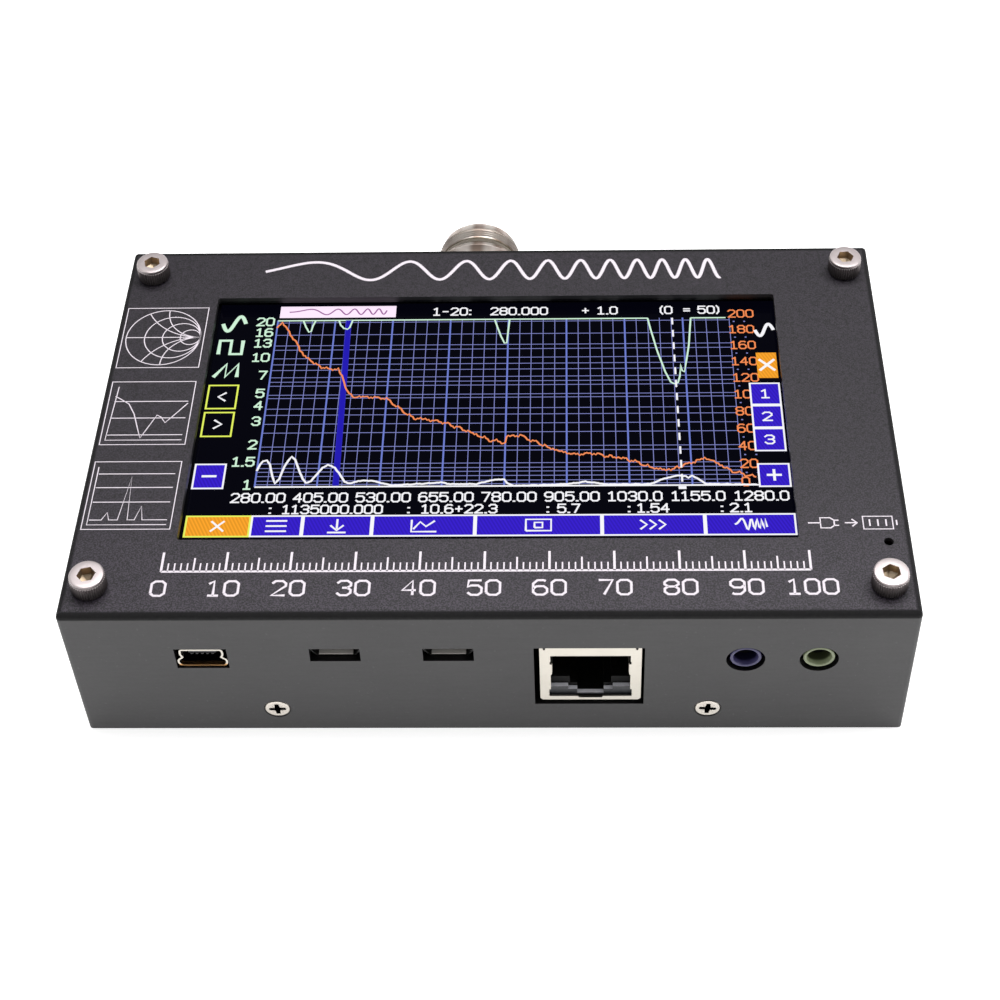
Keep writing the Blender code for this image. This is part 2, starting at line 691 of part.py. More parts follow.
def make_main_board():
    half_width = INNER_WIDTH - BOARD_EDGE_GAP
    half_depth = INNER_DEPTH - BOARD_EDGE_GAP
    centre_z = (BOARD_TOP + BOARD_UNDER) / 2
    size = (2 * half_width, 2 * half_depth, BOARD_THICKNESS)
    board = add_part("main_board", block(size, (0, 0, centre_z)), "board_green")
    for _, x, y in corner_places():
        hole = rod(M3_HOLE_RADIUS, BOARD_THICKNESS + 2 * OVERRUN, SCREW_SIDES)
        cut(board, add_tool(hole, (x, y, centre_z)))
    notch_for_jack(board, half_depth, centre_z)


def make_display():
    width = LIT_WIDTH + 2 * MODULE_SIDE
    depth = LIT_DEPTH + MODULE_REAR + MODULE_FRONT
    centre_y = LIT_Y + (MODULE_REAR - MODULE_FRONT) / 2
    layers = (
        ("touch_panel", TOUCH_TOP, TOUCH_THICKNESS, "glass_dark"),
        ("display_panel", PANEL_TOP, PANEL_THICKNESS, "glass_dark"),
        ("display_backlight", BACKLIGHT_TOP, BACKLIGHT_THICKNESS, "screen_grey"),
    )
    for name, top, thickness, finish in layers:
        add_part(name, block((width, depth, thickness)), finish, (LIT_X, centre_y, top - thickness / 2))


def mini_usb_outline(inset):
    """Wide at the foot and narrow at the top, in X and Z about the middle of the shell."""
    half_foot = MINI_USB_WIDTH / 2 - inset
    half_top = MINI_USB_TOP_WIDTH / 2 - inset
    low = inset - MINI_USB_HEIGHT / 2
    high = MINI_USB_HEIGHT / 2 - inset
    step = low + MINI_USB_STEP
    neck = step + (MINI_USB_WIDTH - MINI_USB_TOP_WIDTH) / 2
    return [
        (half_foot, low), (half_foot, step), (half_top, neck), (half_top, high),
        (-half_top, high), (-half_top, neck), (-half_foot, step), (-half_foot, low),
    ]


def tongue(name, front, depth, centre_x, centre_z, inside, tongue_size, turn=0):
    """A contact tongue on a rear block, held in a shell whose clear inside is given."""
    inside_width, inside_height = inside
    tongue_width, tongue_height = tongue_size
    block_size = (inside_width - 2 * GAP, TONGUE_BLOCK_DEPTH, inside_height - 2 * GAP)
    back = front + depth - PORT_SHELL - GAP
    tongue_length = depth - PORT_SHELL - GAP - PORT_SHELL
    place = Matrix.Rotation(turn, 4, "Z")
    block_centre = place @ Vector((0, back - TONGUE_BLOCK_DEPTH / 2, 0))
    blade_centre = place @ Vector((0, back - tongue_length / 2, 0))
    rest = Vector((centre_x, 0, centre_z))
    part = add_part(name, block(block_size), "plastic_black", rest + block_centre, (0, 0, turn))
    blade = block((tongue_width, tongue_length, tongue_height))
    fuse(part, add_tool(blade, rest + blade_centre, (0, 0, turn)))
    return part


def make_mini_usb():
    front = MINI_USB_RECESS - HALF_DEPTH
    centre_z = BOARD_UNDER - MINI_USB_DROP - MINI_USB_HEIGHT / 2
    middle = (MINI_USB_X, front + MINI_USB_DEPTH / 2, centre_z)
    outside = outline_mesh(mini_usb_outline(0), MINI_USB_DEPTH)
    shell = add_part("mini_usb_shell", outside, "nickel", middle, TO_FRONT)
    hollow_middle = (MINI_USB_X, middle[1] - PORT_SHELL, centre_z)
    hollow = outline_mesh(mini_usb_outline(PORT_SHELL), MINI_USB_DEPTH)
    cut(shell, add_tool(hollow, hollow_middle, TO_FRONT))
    inside = (MINI_USB_TOP_WIDTH - 2 * PORT_SHELL, MINI_USB_HEIGHT - 2 * PORT_SHELL)
    blade = (MINI_TONGUE_WIDTH, MINI_TONGUE_HEIGHT)
    tongue("mini_usb_tongue", front, MINI_USB_DEPTH, MINI_USB_X, centre_z, inside, blade)


def micro_usb_shell(name, middle, turn=0):
    size = (MICRO_USB_WIDTH, MICRO_USB_DEPTH, MICRO_USB_HEIGHT)
    shell = add_part(name, block(size), "nickel", middle, (0, 0, turn))
    hollow = (size[0] - 2 * PORT_SHELL, size[1], size[2] - 2 * PORT_SHELL)
    shift = Matrix.Rotation(turn, 4, "Z") @ Vector((0, -PORT_SHELL, 0))
    cut(shell, add_tool(block(hollow), Vector(middle) + shift, (0, 0, turn)))


def make_micro_usb():
    front = SHEET + GAP - HALF_DEPTH
    centre_z = BOARD_UNDER - GAP - MICRO_USB_HEIGHT / 2
    inside = (MICRO_USB_WIDTH - 2 * PORT_SHELL, MICRO_USB_HEIGHT - 2 * PORT_SHELL)
    blade = (MICRO_TONGUE_WIDTH, MICRO_TONGUE_HEIGHT)
    for side, x in (("left", MICRO_USB_LEFT_X), ("right", MICRO_USB_RIGHT_X)):
        micro_usb_shell(f"micro_usb_shell_{side}", (x, front + MICRO_USB_DEPTH / 2, centre_z))
        tongue(f"micro_usb_tongue_{side}", front, MICRO_USB_DEPTH, x, centre_z, inside, blade)


def network_levels():
    """Heights in the network socket, from its top down."""
    top = BOARD_UNDER - GAP
    mouth_top = top - NETWORK_MOUTH_TOP
    shelf = mouth_top - NETWORK_SHELF_HEIGHT
    step = shelf - NETWORK_STEP_HEIGHT
    latch = step - NETWORK_LATCH_HEIGHT
    return top, mouth_top, shelf, step, latch


def stepped_tools(steps, top, front, back):
    """Blocks that cut a stepped opening from (half width, lower height) steps, top first."""
    for half, lower in steps:
        middle, size = middle_and_size((NETWORK_X - half, front, lower), (NETWORK_X + half, back, top))
        yield add_tool(block(size), middle)


def make_network_socket():
    top, mouth_top, shelf, step, latch = network_levels()
    front = NETWORK_RECESS - HALF_DEPTH
    low = top - NETWORK_HEIGHT
    left, right = NETWORK_X - NETWORK_WIDTH / 2, NETWORK_X + NETWORK_WIDTH / 2
    middle, size = middle_and_size((left, front, low), (right, front + NETWORK_DEPTH, top))
    shield = add_part("network_socket_shield", block(size), "nickel", middle)
    hollow = [side - 2 * PORT_SHELL for side in size]
    cut(shield, add_tool(block(hollow), middle))
    insert_front = front + PORT_SHELL + GAP
    mouth_half, latch_half = NETWORK_MOUTH_WIDTH / 2, NETWORK_LATCH_WIDTH / 2
    light_top = shelf - NETWORK_LIGHT_DROP
    light_step = light_top - NETWORK_LIGHT_STEP
    cut(shield, *stepped_tools([(mouth_half, latch)], mouth_top, front - OVERRUN, insert_front))
    lights = (NETWORK_LIGHT_WIDTH / 2, latch)
    cut(shield, *stepped_tools([lights], light_top, front - OVERRUN, insert_front))

    insert_size = [side - 2 * GAP for side in hollow]
    insert = add_part("network_socket_insert", block(insert_size), "plastic_black", middle)
    plug = [(mouth_half, shelf), (NETWORK_STEP_WIDTH / 2, step), (latch_half, latch)]
    plug_back = insert_front + NETWORK_PLUG_DEPTH
    cut(insert, *stepped_tools(plug, mouth_top, insert_front - OVERRUN, plug_back))
    porch = [(mouth_half, light_top), (NETWORK_LIGHT_STEP_WIDTH / 2, light_step), (latch_half, latch)]
    porch_back = insert_front + NETWORK_LIGHT_DEPTH
    cut(insert, *stepped_tools(porch, mouth_top, insert_front - OVERRUN, porch_back))
    make_network_contacts(insert_front, mouth_top)


def make_network_contacts(insert_front, mouth_top):
    """Eight spring contacts on one bar, sloping down and back under the roof of the plug space."""
    span = (CONTACT_COUNT - 1) * CONTACT_PITCH + CONTACT_WIDTH
    points = [(-span / 2, CONTACT_LENGTH + CONTACT_BAR)]
    for number in range(CONTACT_COUNT):
        left = -span / 2 + number * CONTACT_PITCH
        right = left + CONTACT_WIDTH
        points += [(left, 0), (right, 0)]
        if number < CONTACT_COUNT - 1:
            points += [(right, CONTACT_LENGTH), (left + CONTACT_PITCH, CONTACT_LENGTH)]
    points.append((span / 2, CONTACT_LENGTH + CONTACT_BAR))
    drop = CONTACT_THICKNESS + GAP
    back = insert_front + NETWORK_PLUG_DEPTH - GAP - (CONTACT_LENGTH + CONTACT_BAR)
    place = (NETWORK_X, back, mouth_top - drop)
    comb = outline_mesh(points, CONTACT_THICKNESS)
    add_part("network_socket_contacts", comb, "brass", place, (CONTACT_TILT, 0, 0))


def make_audio_jacks():
    front = AUDIO_BARREL_RECESS - HALF_DEPTH
    body_front = SHEET + GAP - HALF_DEPTH
    axis_z = BOARD_UNDER - AUDIO_BARREL_DROP
    body_z = BOARD_UNDER - GAP - AUDIO_BODY_HEIGHT / 2
    for name, x, finish in (
        ("audio_jack_blue", AUDIO_BLUE_X, "jack_blue"), ("audio_jack_green", AUDIO_GREEN_X, "jack_green"),
    ):
        size = (AUDIO_BODY_WIDTH, AUDIO_BODY_DEPTH, AUDIO_BODY_HEIGHT)
        jack = add_part(name, block(size), finish, (x, body_front + AUDIO_BODY_DEPTH / 2, body_z))
        barrel_length = body_front - front + AUDIO_BODY_DEPTH / 2
        barrel = rod(AUDIO_BARREL_RADIUS, barrel_length, HOLE_SIDES)
        fuse(jack, add_tool(barrel, (x, front + barrel_length / 2, axis_z), TO_FRONT))
        bore = rod(AUDIO_BORE_RADIUS, 2 * AUDIO_BORE_DEPTH, HOLE_SIDES)
        cut(jack, add_tool(bore, (x, front, axis_z), TO_FRONT))
        smooth(jack)


def make_charge_light():
    profile = [(0, LIGHT_BODY_HEIGHT + LIGHT_RADIUS)]
    for angle in (60, 30, 0):
        turn = math.radians(angle)
        profile.append((LIGHT_RADIUS * math.cos(turn), LIGHT_BODY_HEIGHT + LIGHT_RADIUS * math.sin(turn)))
    profile += [
        (LIGHT_RADIUS, LIGHT_FLANGE_HEIGHT), (LIGHT_FLANGE_RADIUS, LIGHT_FLANGE_HEIGHT),
        (LIGHT_FLANGE_RADIUS, 0), (0, 0),
    ]
    seat = (LIGHT_X, LIGHT_Y, BOARD_TOP + GAP)
    turned("charge_light", profile, "light_red", seat, (0, 0, 0), SCREW_SIDES)


def make_tactile_switches():
    """Housings under the main board with a trapped button that is pushed up."""
    top = BOARD_UNDER - GAP
    low = top - TACT_HEIGHT
    flange_low = low + TACT_LIP + GAP
    flange_top = flange_low + TACT_FLANGE_HEIGHT
    ceiling = flange_top + TACT_TRAVEL + GAP
    stem_reach = TACT_PROUD + TACT_LIP + GAP
    profile = [
        (0, TACT_FLANGE_HEIGHT), (TACT_FLANGE_RADIUS, TACT_FLANGE_HEIGHT), (TACT_FLANGE_RADIUS, 0),
        (TACT_STEM_RADIUS, 0), (TACT_STEM_RADIUS, -stem_reach), (0, -stem_reach),
    ]
    for name, share, finish in (
        ("user", TACT_USER_Y_SHARE, "jack_blue"), ("reset", TACT_RESET_Y_SHARE, "plastic_black"),
    ):
        y = HALF_DEPTH * share
        size = (TACT_SIDE, TACT_SIDE, TACT_HEIGHT)
        housing = add_part(f"{name}_switch", block(size), "plastic_black", (TACT_X, y, (top + low) / 2))
        chamber = rod(TACT_FLANGE_RADIUS + GAP, ceiling - low - TACT_LIP, SCREW_SIDES)
        mouth = rod(TACT_STEM_RADIUS + GAP, 2 * TACT_LIP + OVERRUN, SCREW_SIDES)
        cut(housing, add_tool(chamber, (TACT_X, y, (ceiling + low + TACT_LIP) / 2)))
        cut(housing, add_tool(mouth, (TACT_X, y, low + TACT_LIP / 2 - OVERRUN / 2)))
        turned(f"{name}_button", profile, finish, (TACT_X, y, flange_low), (0, 0, 0), SCREW_SIDES)


def header_pin_places():
    start = HEADER_Y - HEADER_PITCH * (HEADER_PINS - 1) / 2
    return [start + number * HEADER_PITCH for number in range(HEADER_PINS)]


def make_headers():
    length = HEADER_PITCH * HEADER_PINS
    strip_low = RADIO_TOP + GAP
    strip_top = strip_low + HEADER_STRIP_HEIGHT
    socket_low = strip_top + GAP
    socket_top = BOARD_UNDER - GAP
    pin_top = strip_top + HEADER_PIN_REACH
    hole = HEADER_PIN + 2 * GAP
    for side, sign in LEFT_RIGHT.items():
        x = sign * HEADER_X
        socket_size = (HEADER_WIDTH, length, socket_top - socket_low)
        socket_middle = (x, HEADER_Y, (socket_low + socket_top) / 2)
        socket = add_part(f"header_socket_{side}", block(socket_size), "plastic_black", socket_middle)
        holes = [((hole, hole, 2 * HEADER_SOCKET_DEPTH), (x, y, socket_low)) for y in header_pin_places()]
        cut(socket, add_tool(block_mesh(*holes)))
        strip_size = (HEADER_WIDTH, length, HEADER_STRIP_HEIGHT)
        strip_middle = (x, HEADER_Y, (strip_low + strip_top) / 2)
        strip = add_part(f"header_pins_{side}", block(strip_size), "plastic_black", strip_middle)
        pin_low = strip_low + HEADER_STRIP_HEIGHT / 2
        pins = [
            ((HEADER_PIN, HEADER_PIN, pin_top - pin_low), (x, y, (pin_top + pin_low) / 2))
            for y in header_pin_places()
        ]
        fuse(strip, add_tool(block_mesh(*pins)))


def make_radio_board():
    half_width = INNER_WIDTH - BOARD_EDGE_GAP
    back = INNER_DEPTH - BOARD_EDGE_GAP
    front = HALF_DEPTH * RADIO_BOARD_FRONT_SHARE
    middle, size = middle_and_size((-half_width, front, RADIO_BOARD_Z), (half_width, back, RADIO_TOP))
    board = add_part("radio_board", block(size), "board_blue", middle)
    for sign in LEFT_RIGHT.values():
        hole = rod(M3_HOLE_RADIUS, RADIO_BOARD_THICKNESS + 2 * OVERRUN, SCREW_SIDES)
        cut(board, add_tool(hole, (sign * CORNER_X, REAR_CORNER_Y, middle.z)))
    notch_for_jack(board, back, middle.z)

    can_z = RADIO_TOP + GAP + CAN_HEIGHT / 2
    can_size = (CAN_WIDTH, CAN_DEPTH, CAN_HEIGHT)
    can = add_part("radio_shield_can", block(can_size), "nickel", (JACK_X, CAN_Y, can_z))
    hollow = block((CAN_WIDTH - 2 * CAN_SHEET, CAN_DEPTH - 2 * CAN_SHEET, CAN_HEIGHT))
    cut(can, add_tool(hollow, (JACK_X, CAN_Y, can_z - CAN_SHEET)))
    chip = block((RADIO_CHIP_SIDE, RADIO_CHIP_SIDE, CHIP_THICKNESS))
    add_part("radio_chip", chip, "plastic_black", (JACK_X, CAN_Y, RADIO_TOP + GAP + CHIP_THICKNESS / 2))
    processor = block((PROCESSOR_SIDE, PROCESSOR_SIDE, CHIP_THICKNESS))
    processor_z = BOARD_UNDER - GAP - CHIP_THICKNESS / 2
    add_part("processor_chip", processor, "plastic_black", (0, HALF_DEPTH * PROCESSOR_Y_SHARE, processor_z))


def jack_face():
    """How far the mouth of the antenna jack stands off the seat of its collar."""
    return (
        JACK_COLLAR_LENGTH + JACK_NECK_LENGTH + JACK_THREAD_LENGTH
        + JACK_BARREL_LENGTH + JACK_LEAD_LENGTH + JACK_RIM_LENGTH
    )


def make_antenna_jack():
    """Body, insulator and contact, with heights measured outwards from the collar's seat."""
    seat = (JACK_X, HALF_DEPTH + GAP, JACK_Z)
    face = jack_face()
    lead = face - JACK_RIM_LENGTH
    barrel = lead - JACK_LEAD_LENGTH
    thread = barrel - JACK_BARREL_LENGTH
    neck = thread - JACK_THREAD_LENGTH
    collar = neck - JACK_NECK_LENGTH
    stub = -(SHEET + 2 * GAP + JACK_STUB_LENGTH)
    bore_end = face - JACK_BORE_DEPTH
    insulator_bore = JACK_INSULATOR_RADIUS + GAP
    chamfer = JACK_COLLAR_CHAMFER
    body = [
        (JACK_RIM_RADIUS, face), (JACK_LEAD_RADIUS, lead), (JACK_BARREL_RADIUS, barrel),
        (JACK_BARREL_RADIUS, thread), (JACK_THREAD_RADIUS, thread), (JACK_THREAD_RADIUS, neck),
        (JACK_NECK_RADIUS, neck), (JACK_NECK_RADIUS, collar), (JACK_COLLAR_RADIUS - chamfer, collar),
        (JACK_COLLAR_RADIUS, collar - chamfer), (JACK_COLLAR_RADIUS, 0), (JACK_STUB_RADIUS, 0),
        (JACK_STUB_RADIUS, stub), (insulator_bore, stub), (insulator_bore, bore_end),
        (JACK_BORE_RADIUS, bore_end), (JACK_BORE_RADIUS, face),
    ]
    jack = turned("antenna_jack_body", body, "nickel", seat, TO_BACK, JACK_SIDES, closed=True)
    hex_middle = (JACK_X, seat[1] + JACK_HEX_THICKNESS / 2, JACK_Z)
    flange = add_tool(hexagon(JACK_HEX_FLATS, JACK_HEX_THICKNESS), hex_middle, HEX_TO_BACK)
    flange_hole = rod(JACK_STUB_RADIUS, JACK_HEX_THICKNESS + 2 * OVERRUN, JACK_SIDES)
    cut(flange, add_tool(flange_hole, hex_middle, TO_BACK))
    fuse(jack, flange)

    waist_bore = JACK_CONTACT_WAIST + GAP
    outer = JACK_INSULATOR_RADIUS
    insulator = [(outer, bore_end), (outer, stub), (waist_bore, stub), (waist_bore, bore_end)]
    turned("antenna_jack_insulator", insulator, "teflon", seat, TO_BACK, SCREW_SIDES, closed=True)

    tip = face - JACK_CONTACT_RECESS
    shoulder = bore_end + GAP
    tail = stub - JACK_TAIL_LENGTH
    contact = [
        (0, tip - JACK_CONTACT_BORE_DEPTH), (JACK_CONTACT_BORE, tip - JACK_CONTACT_BORE_DEPTH),
        (JACK_CONTACT_BORE, tip), (JACK_CONTACT_RADIUS, tip), (JACK_CONTACT_RADIUS, shoulder),
        (JACK_CONTACT_WAIST, shoulder), (JACK_CONTACT_WAIST, stub), (JACK_TAIL_RADIUS, stub),
        (JACK_TAIL_RADIUS, tail), (0, tail),
    ]
    turned("antenna_jack_contact", contact, "brass", seat, TO_BACK, SCREW_SIDES)

    washer_middle = INNER_DEPTH - GAP - JACK_WASHER_THICKNESS / 2
    outer, bore, half = JACK_WASHER_RADIUS, JACK_STUB_RADIUS + GAP, JACK_WASHER_THICKNESS / 2
    ring = [(outer, half), (outer, -half), (bore, -half), (bore, half)]
    washer_place = (JACK_X, washer_middle, JACK_Z)
    turned("antenna_jack_washer", ring, "nickel", washer_place, TO_BACK, HOLE_SIDES, closed=True)
    nut_middle = washer_middle - half - GAP - JACK_NUT_THICKNESS / 2
    nut_place = (JACK_X, nut_middle, JACK_Z)
    size = (JACK_NUT_FLATS, JACK_NUT_THICKNESS)
    hex_nut("antenna_jack_nut", *size, bore, "nickel", nut_place, HEX_TO_BACK, HOLE_SIDES)


def make_power_switch():
    """A housing clipped in the rear wall and a rocker that stands at its off position."""
    bezel_y = HALF_DEPTH + GAP + ROCKER_BEZEL_THICKNESS / 2
    bezel_width = ROCKER_BODY_WIDTH + 2 * ROCKER_BEZEL_LIP
    bezel_height = ROCKER_BODY_HEIGHT + 2 * ROCKER_BEZEL_RISE
    bezel_points = rounded_rectangle(bezel_width, bezel_height, ROCKER_BEZEL_CORNER)
    bezel = outline_mesh(bezel_points, ROCKER_BEZEL_THICKNESS)
    bezel_middle = (ROCKER_X, bezel_y, ROCKER_Z)
    housing = add_part("power_switch_housing", bezel, "plastic_black", bezel_middle, TO_FRONT)
    back = HALF_DEPTH - ROCKER_BODY_DEPTH
    half_width, half_height = ROCKER_BODY_WIDTH / 2, ROCKER_BODY_HEIGHT / 2
    body_middle, body_size = middle_and_size(
        (ROCKER_X - half_width, back, ROCKER_Z - half_height),
        (ROCKER_X + half_width, bezel_y, ROCKER_Z + half_height),
    )
    fuse(housing, add_tool(block(body_size), body_middle))
    pivot_y = HALF_DEPTH - ROCKER_PIVOT_INSET
    pocket_back = pivot_y - ROCKER_TAIL - ROCKER_SIDE_GAP
    clear_width, clear_height = half_width - ROCKER_WALL, half_height - ROCKER_WALL
    pocket_middle, pocket_size = middle_and_size(
        (ROCKER_X - clear_width, pocket_back, ROCKER_Z - clear_height),
        (ROCKER_X + clear_width, bezel_y + OVERRUN, ROCKER_Z + clear_height),
    )
    cut(housing, add_tool(block(pocket_size), pocket_middle))
    pin_hole = rod(ROCKER_PIN_RADIUS + GAP, ROCKER_BODY_HEIGHT + 2 * OVERRUN, SCREW_SIDES)
    cut(housing, add_tool(pin_hole, (ROCKER_X, pivot_y, ROCKER_Z)))

    half_length = pocket_size.x / 2 - ROCKER_SIDE_GAP
    tail_half = half_length * ROCKER_TAIL_SHARE
    face = [
        (half_length, ROCKER_END_RISE), (0, ROCKER_MIDDLE_RISE), (-half_length, ROCKER_END_RISE),
        (-half_length, 0), (-tail_half, -ROCKER_TAIL), (tail_half, -ROCKER_TAIL), (half_length, 0),
    ]
    pivot = (ROCKER_X, pivot_y, ROCKER_Z)
    turn = (0, 0, -ROCKER_TILT)
    thickness = pocket_size.z - 2 * GAP
    rocker = add_part("power_switch_rocker", outline_mesh(face, thickness), "plastic_black", pivot, turn)
    fuse(rocker, add_tool(rod(ROCKER_PIN_RADIUS, ROCKER_BODY_HEIGHT, SCREW_SIDES), pivot, turn))


def make_power():
    """Battery pouch, charger board with its socket at the right wall, and the lead between them."""
    low = SHEET + GAP
    width, depth = CASE_WIDTH * BATTERY_WIDTH_SHARE, CASE_DEPTH * BATTERY_DEPTH_SHARE
    size = Vector((width, depth, LOWER_ROOM * BATTERY_HEIGHT_SHARE))
    pouch_middle = Vector((HALF_WIDTH * BATTERY_X_SHARE, HALF_DEPTH * BATTERY_Y_SHARE, low + size.z / 2))
    battery = add_part("battery", block(size), "battery_wrap", pouch_middle)
    round_edges(battery, BATTERY_EDGE, 3)

    right = INNER_WIDTH - GAP
    board_middle = (right - CHARGER_WIDTH / 2, CHARGER_Y, low + CHARGER_THICKNESS / 2)
    board_size = (CHARGER_WIDTH, CHARGER_DEPTH, CHARGER_THICKNESS)
    add_part("charger_board", block(board_size), "board_blue", board_middle)
    board_top = low + CHARGER_THICKNESS
    socket_middle = (right - MICRO_USB_DEPTH / 2, CHARGER_Y, board_top + GAP + MICRO_USB_HEIGHT / 2)
    micro_usb_shell("charger_socket", socket_middle, math.radians(90))
    start = pouch_middle + Vector((size.x / 2 + GAP, -size.y / 4, 0))
    make_battery_lead(start, board_top)


def make_battery_lead(start, board_top):
    """A short lead that runs from the pouch round to the charger board."""
    end_x = INNER_WIDTH - GAP - CHARGER_WIDTH + 3 * LEAD_RADIUS
    end_y = CHARGER_Y + CHARGER_DEPTH / 4
    end = Vector((end_x, end_y, board_top + GAP + LEAD_RADIUS))
    reach = Vector(((end.x - start.x) / 2, 0, 0))
    bend_one = start + reach
    bend_two = end - reach
    curve = bpy.data.curves.new("battery_lead", "CURVE")
    curve.dimensions = "3D"
    curve.bevel_depth = LEAD_RADIUS
    curve.bevel_resolution = 2
    curve.use_fill_caps = True
    spline = curve.splines.new("POLY")
    spline.points.add(LEAD_STEPS)
    for number in range(LEAD_STEPS + 1):
        along = number / LEAD_STEPS
        rest = 1 - along
        place = (
            start * rest ** 3 + bend_one * (3 * rest ** 2 * along)
            + bend_two * (3 * rest * along ** 2) + end * along ** 3
        )
        spline.points[number].co = (*place, 1)
    add_part("battery_lead", mesh_from_curve(curve), "lead_red")


clear_scene()
PARTS = new_collection("antenna_analyzer")
TOOLS = new_collection("tools")
make_cover()
make_base()
make_cover_screws()
make_base_screws()
make_spacers()
make_nuts_and_pillars()
make_main_board()
make_display()
make_mini_usb()
make_micro_usb()
make_network_socket()
make_audio_jacks()
make_charge_light()
make_tactile_switches()
make_headers()
make_radio_board()
make_antenna_jack()
make_power_switch()
make_power()
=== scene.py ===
"""Looks of the antenna analyzer: finishes, panel print, lit picture and fine detail."""
import json
import math

import bmesh
import bpy
from mathutils import Matrix, Vector


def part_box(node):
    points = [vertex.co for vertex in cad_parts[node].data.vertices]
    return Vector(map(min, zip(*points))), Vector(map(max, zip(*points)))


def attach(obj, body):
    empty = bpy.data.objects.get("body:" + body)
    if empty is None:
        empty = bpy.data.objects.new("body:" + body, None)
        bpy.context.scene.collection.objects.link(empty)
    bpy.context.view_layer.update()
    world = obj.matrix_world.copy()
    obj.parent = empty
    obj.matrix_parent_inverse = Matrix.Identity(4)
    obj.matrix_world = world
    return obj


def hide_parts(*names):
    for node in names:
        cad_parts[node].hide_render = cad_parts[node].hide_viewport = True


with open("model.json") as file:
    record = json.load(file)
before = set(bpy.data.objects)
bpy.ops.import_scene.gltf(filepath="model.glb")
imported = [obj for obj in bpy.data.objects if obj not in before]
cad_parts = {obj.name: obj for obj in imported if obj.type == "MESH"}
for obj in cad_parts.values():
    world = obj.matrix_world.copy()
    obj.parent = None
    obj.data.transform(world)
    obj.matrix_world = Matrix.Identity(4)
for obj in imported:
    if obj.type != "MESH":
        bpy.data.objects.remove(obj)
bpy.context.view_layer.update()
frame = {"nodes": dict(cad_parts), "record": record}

MM = 0.001
CASE = "case"

# Levels and faces of the case
CASE_TOP = 29.2 * MM
HALF_WIDTH = 64.25 * MM
FRONT_FACE = -39.9 * MM
REAR_FACE = 39.9 * MM
JACK_SEAT = REAR_FACE + 0.3 * MM

# Print on the panel
INK_HEIGHT = 0.03 * MM
INK_LINE = 0.17 * MM

# The lit picture of a 480 by 272 display: its dot, its middle, its dots and the height of one layer
DOT = 0.198 * MM
PICTURE_X = -0.15 * MM
PICTURE_Y = 1.5 * MM
PICTURE_COLUMNS = 480
PICTURE_ROWS = 272
PICTURE_LAYER = 0.015 * MM

# Points nearer to each other than this are one point
SAME_POINT = 0.0005 * MM


# Materials


def linear(red, green, blue):
    """A colour as seen on a screen, 0 to 255, as the renderer's linear values."""
    shares = [part / 255 for part in (red, green, blue)]
    return tuple(s / 12.92 if s <= 0.04045 else ((s + 0.055) / 1.055) ** 2.4 for s in shares)


class Value:
    """A number socket that can be used in sums."""

    def __init__(self, finish, socket):
        self.finish = finish
        self.socket = socket

    def math(self, operation, *others):
        values = {place: other for place, other in enumerate((self, *others))}
        return self.finish.node("ShaderNodeMath", {"operation": operation}, values)["Value"]

    def __add__(self, other):
        return self.math("ADD", other)

    __radd__ = __add__

    def __mul__(self, other):
        return self.math("MULTIPLY", other)

    __rmul__ = __mul__

    def __sub__(self, other):
        return self.math("SUBTRACT", other)

    def __rsub__(self, other):
        return self * -1 + other

    def above(self, edge):
        return self.math("GREATER_THAN", edge)

    def below(self, edge):
        return self.math("LESS_THAN", edge)

    def wave(self):
        return self.math("SINE")

    def size(self):
        return self.math("ABSOLUTE")

    def between(self, low, high):
        settings = {"interpolation_type": "SMOOTHSTEP"}
        values = {"Value": self, "From Min": low, "From Max": high}
        return self.finish.node("ShaderNodeMapRange", settings, values)["Result"]


class Outputs:
    def __init__(self, finish, node):
        self.finish = finish
        self.node = node

    def __getitem__(self, name):
        return Value(self.finish, self.node.outputs[name])


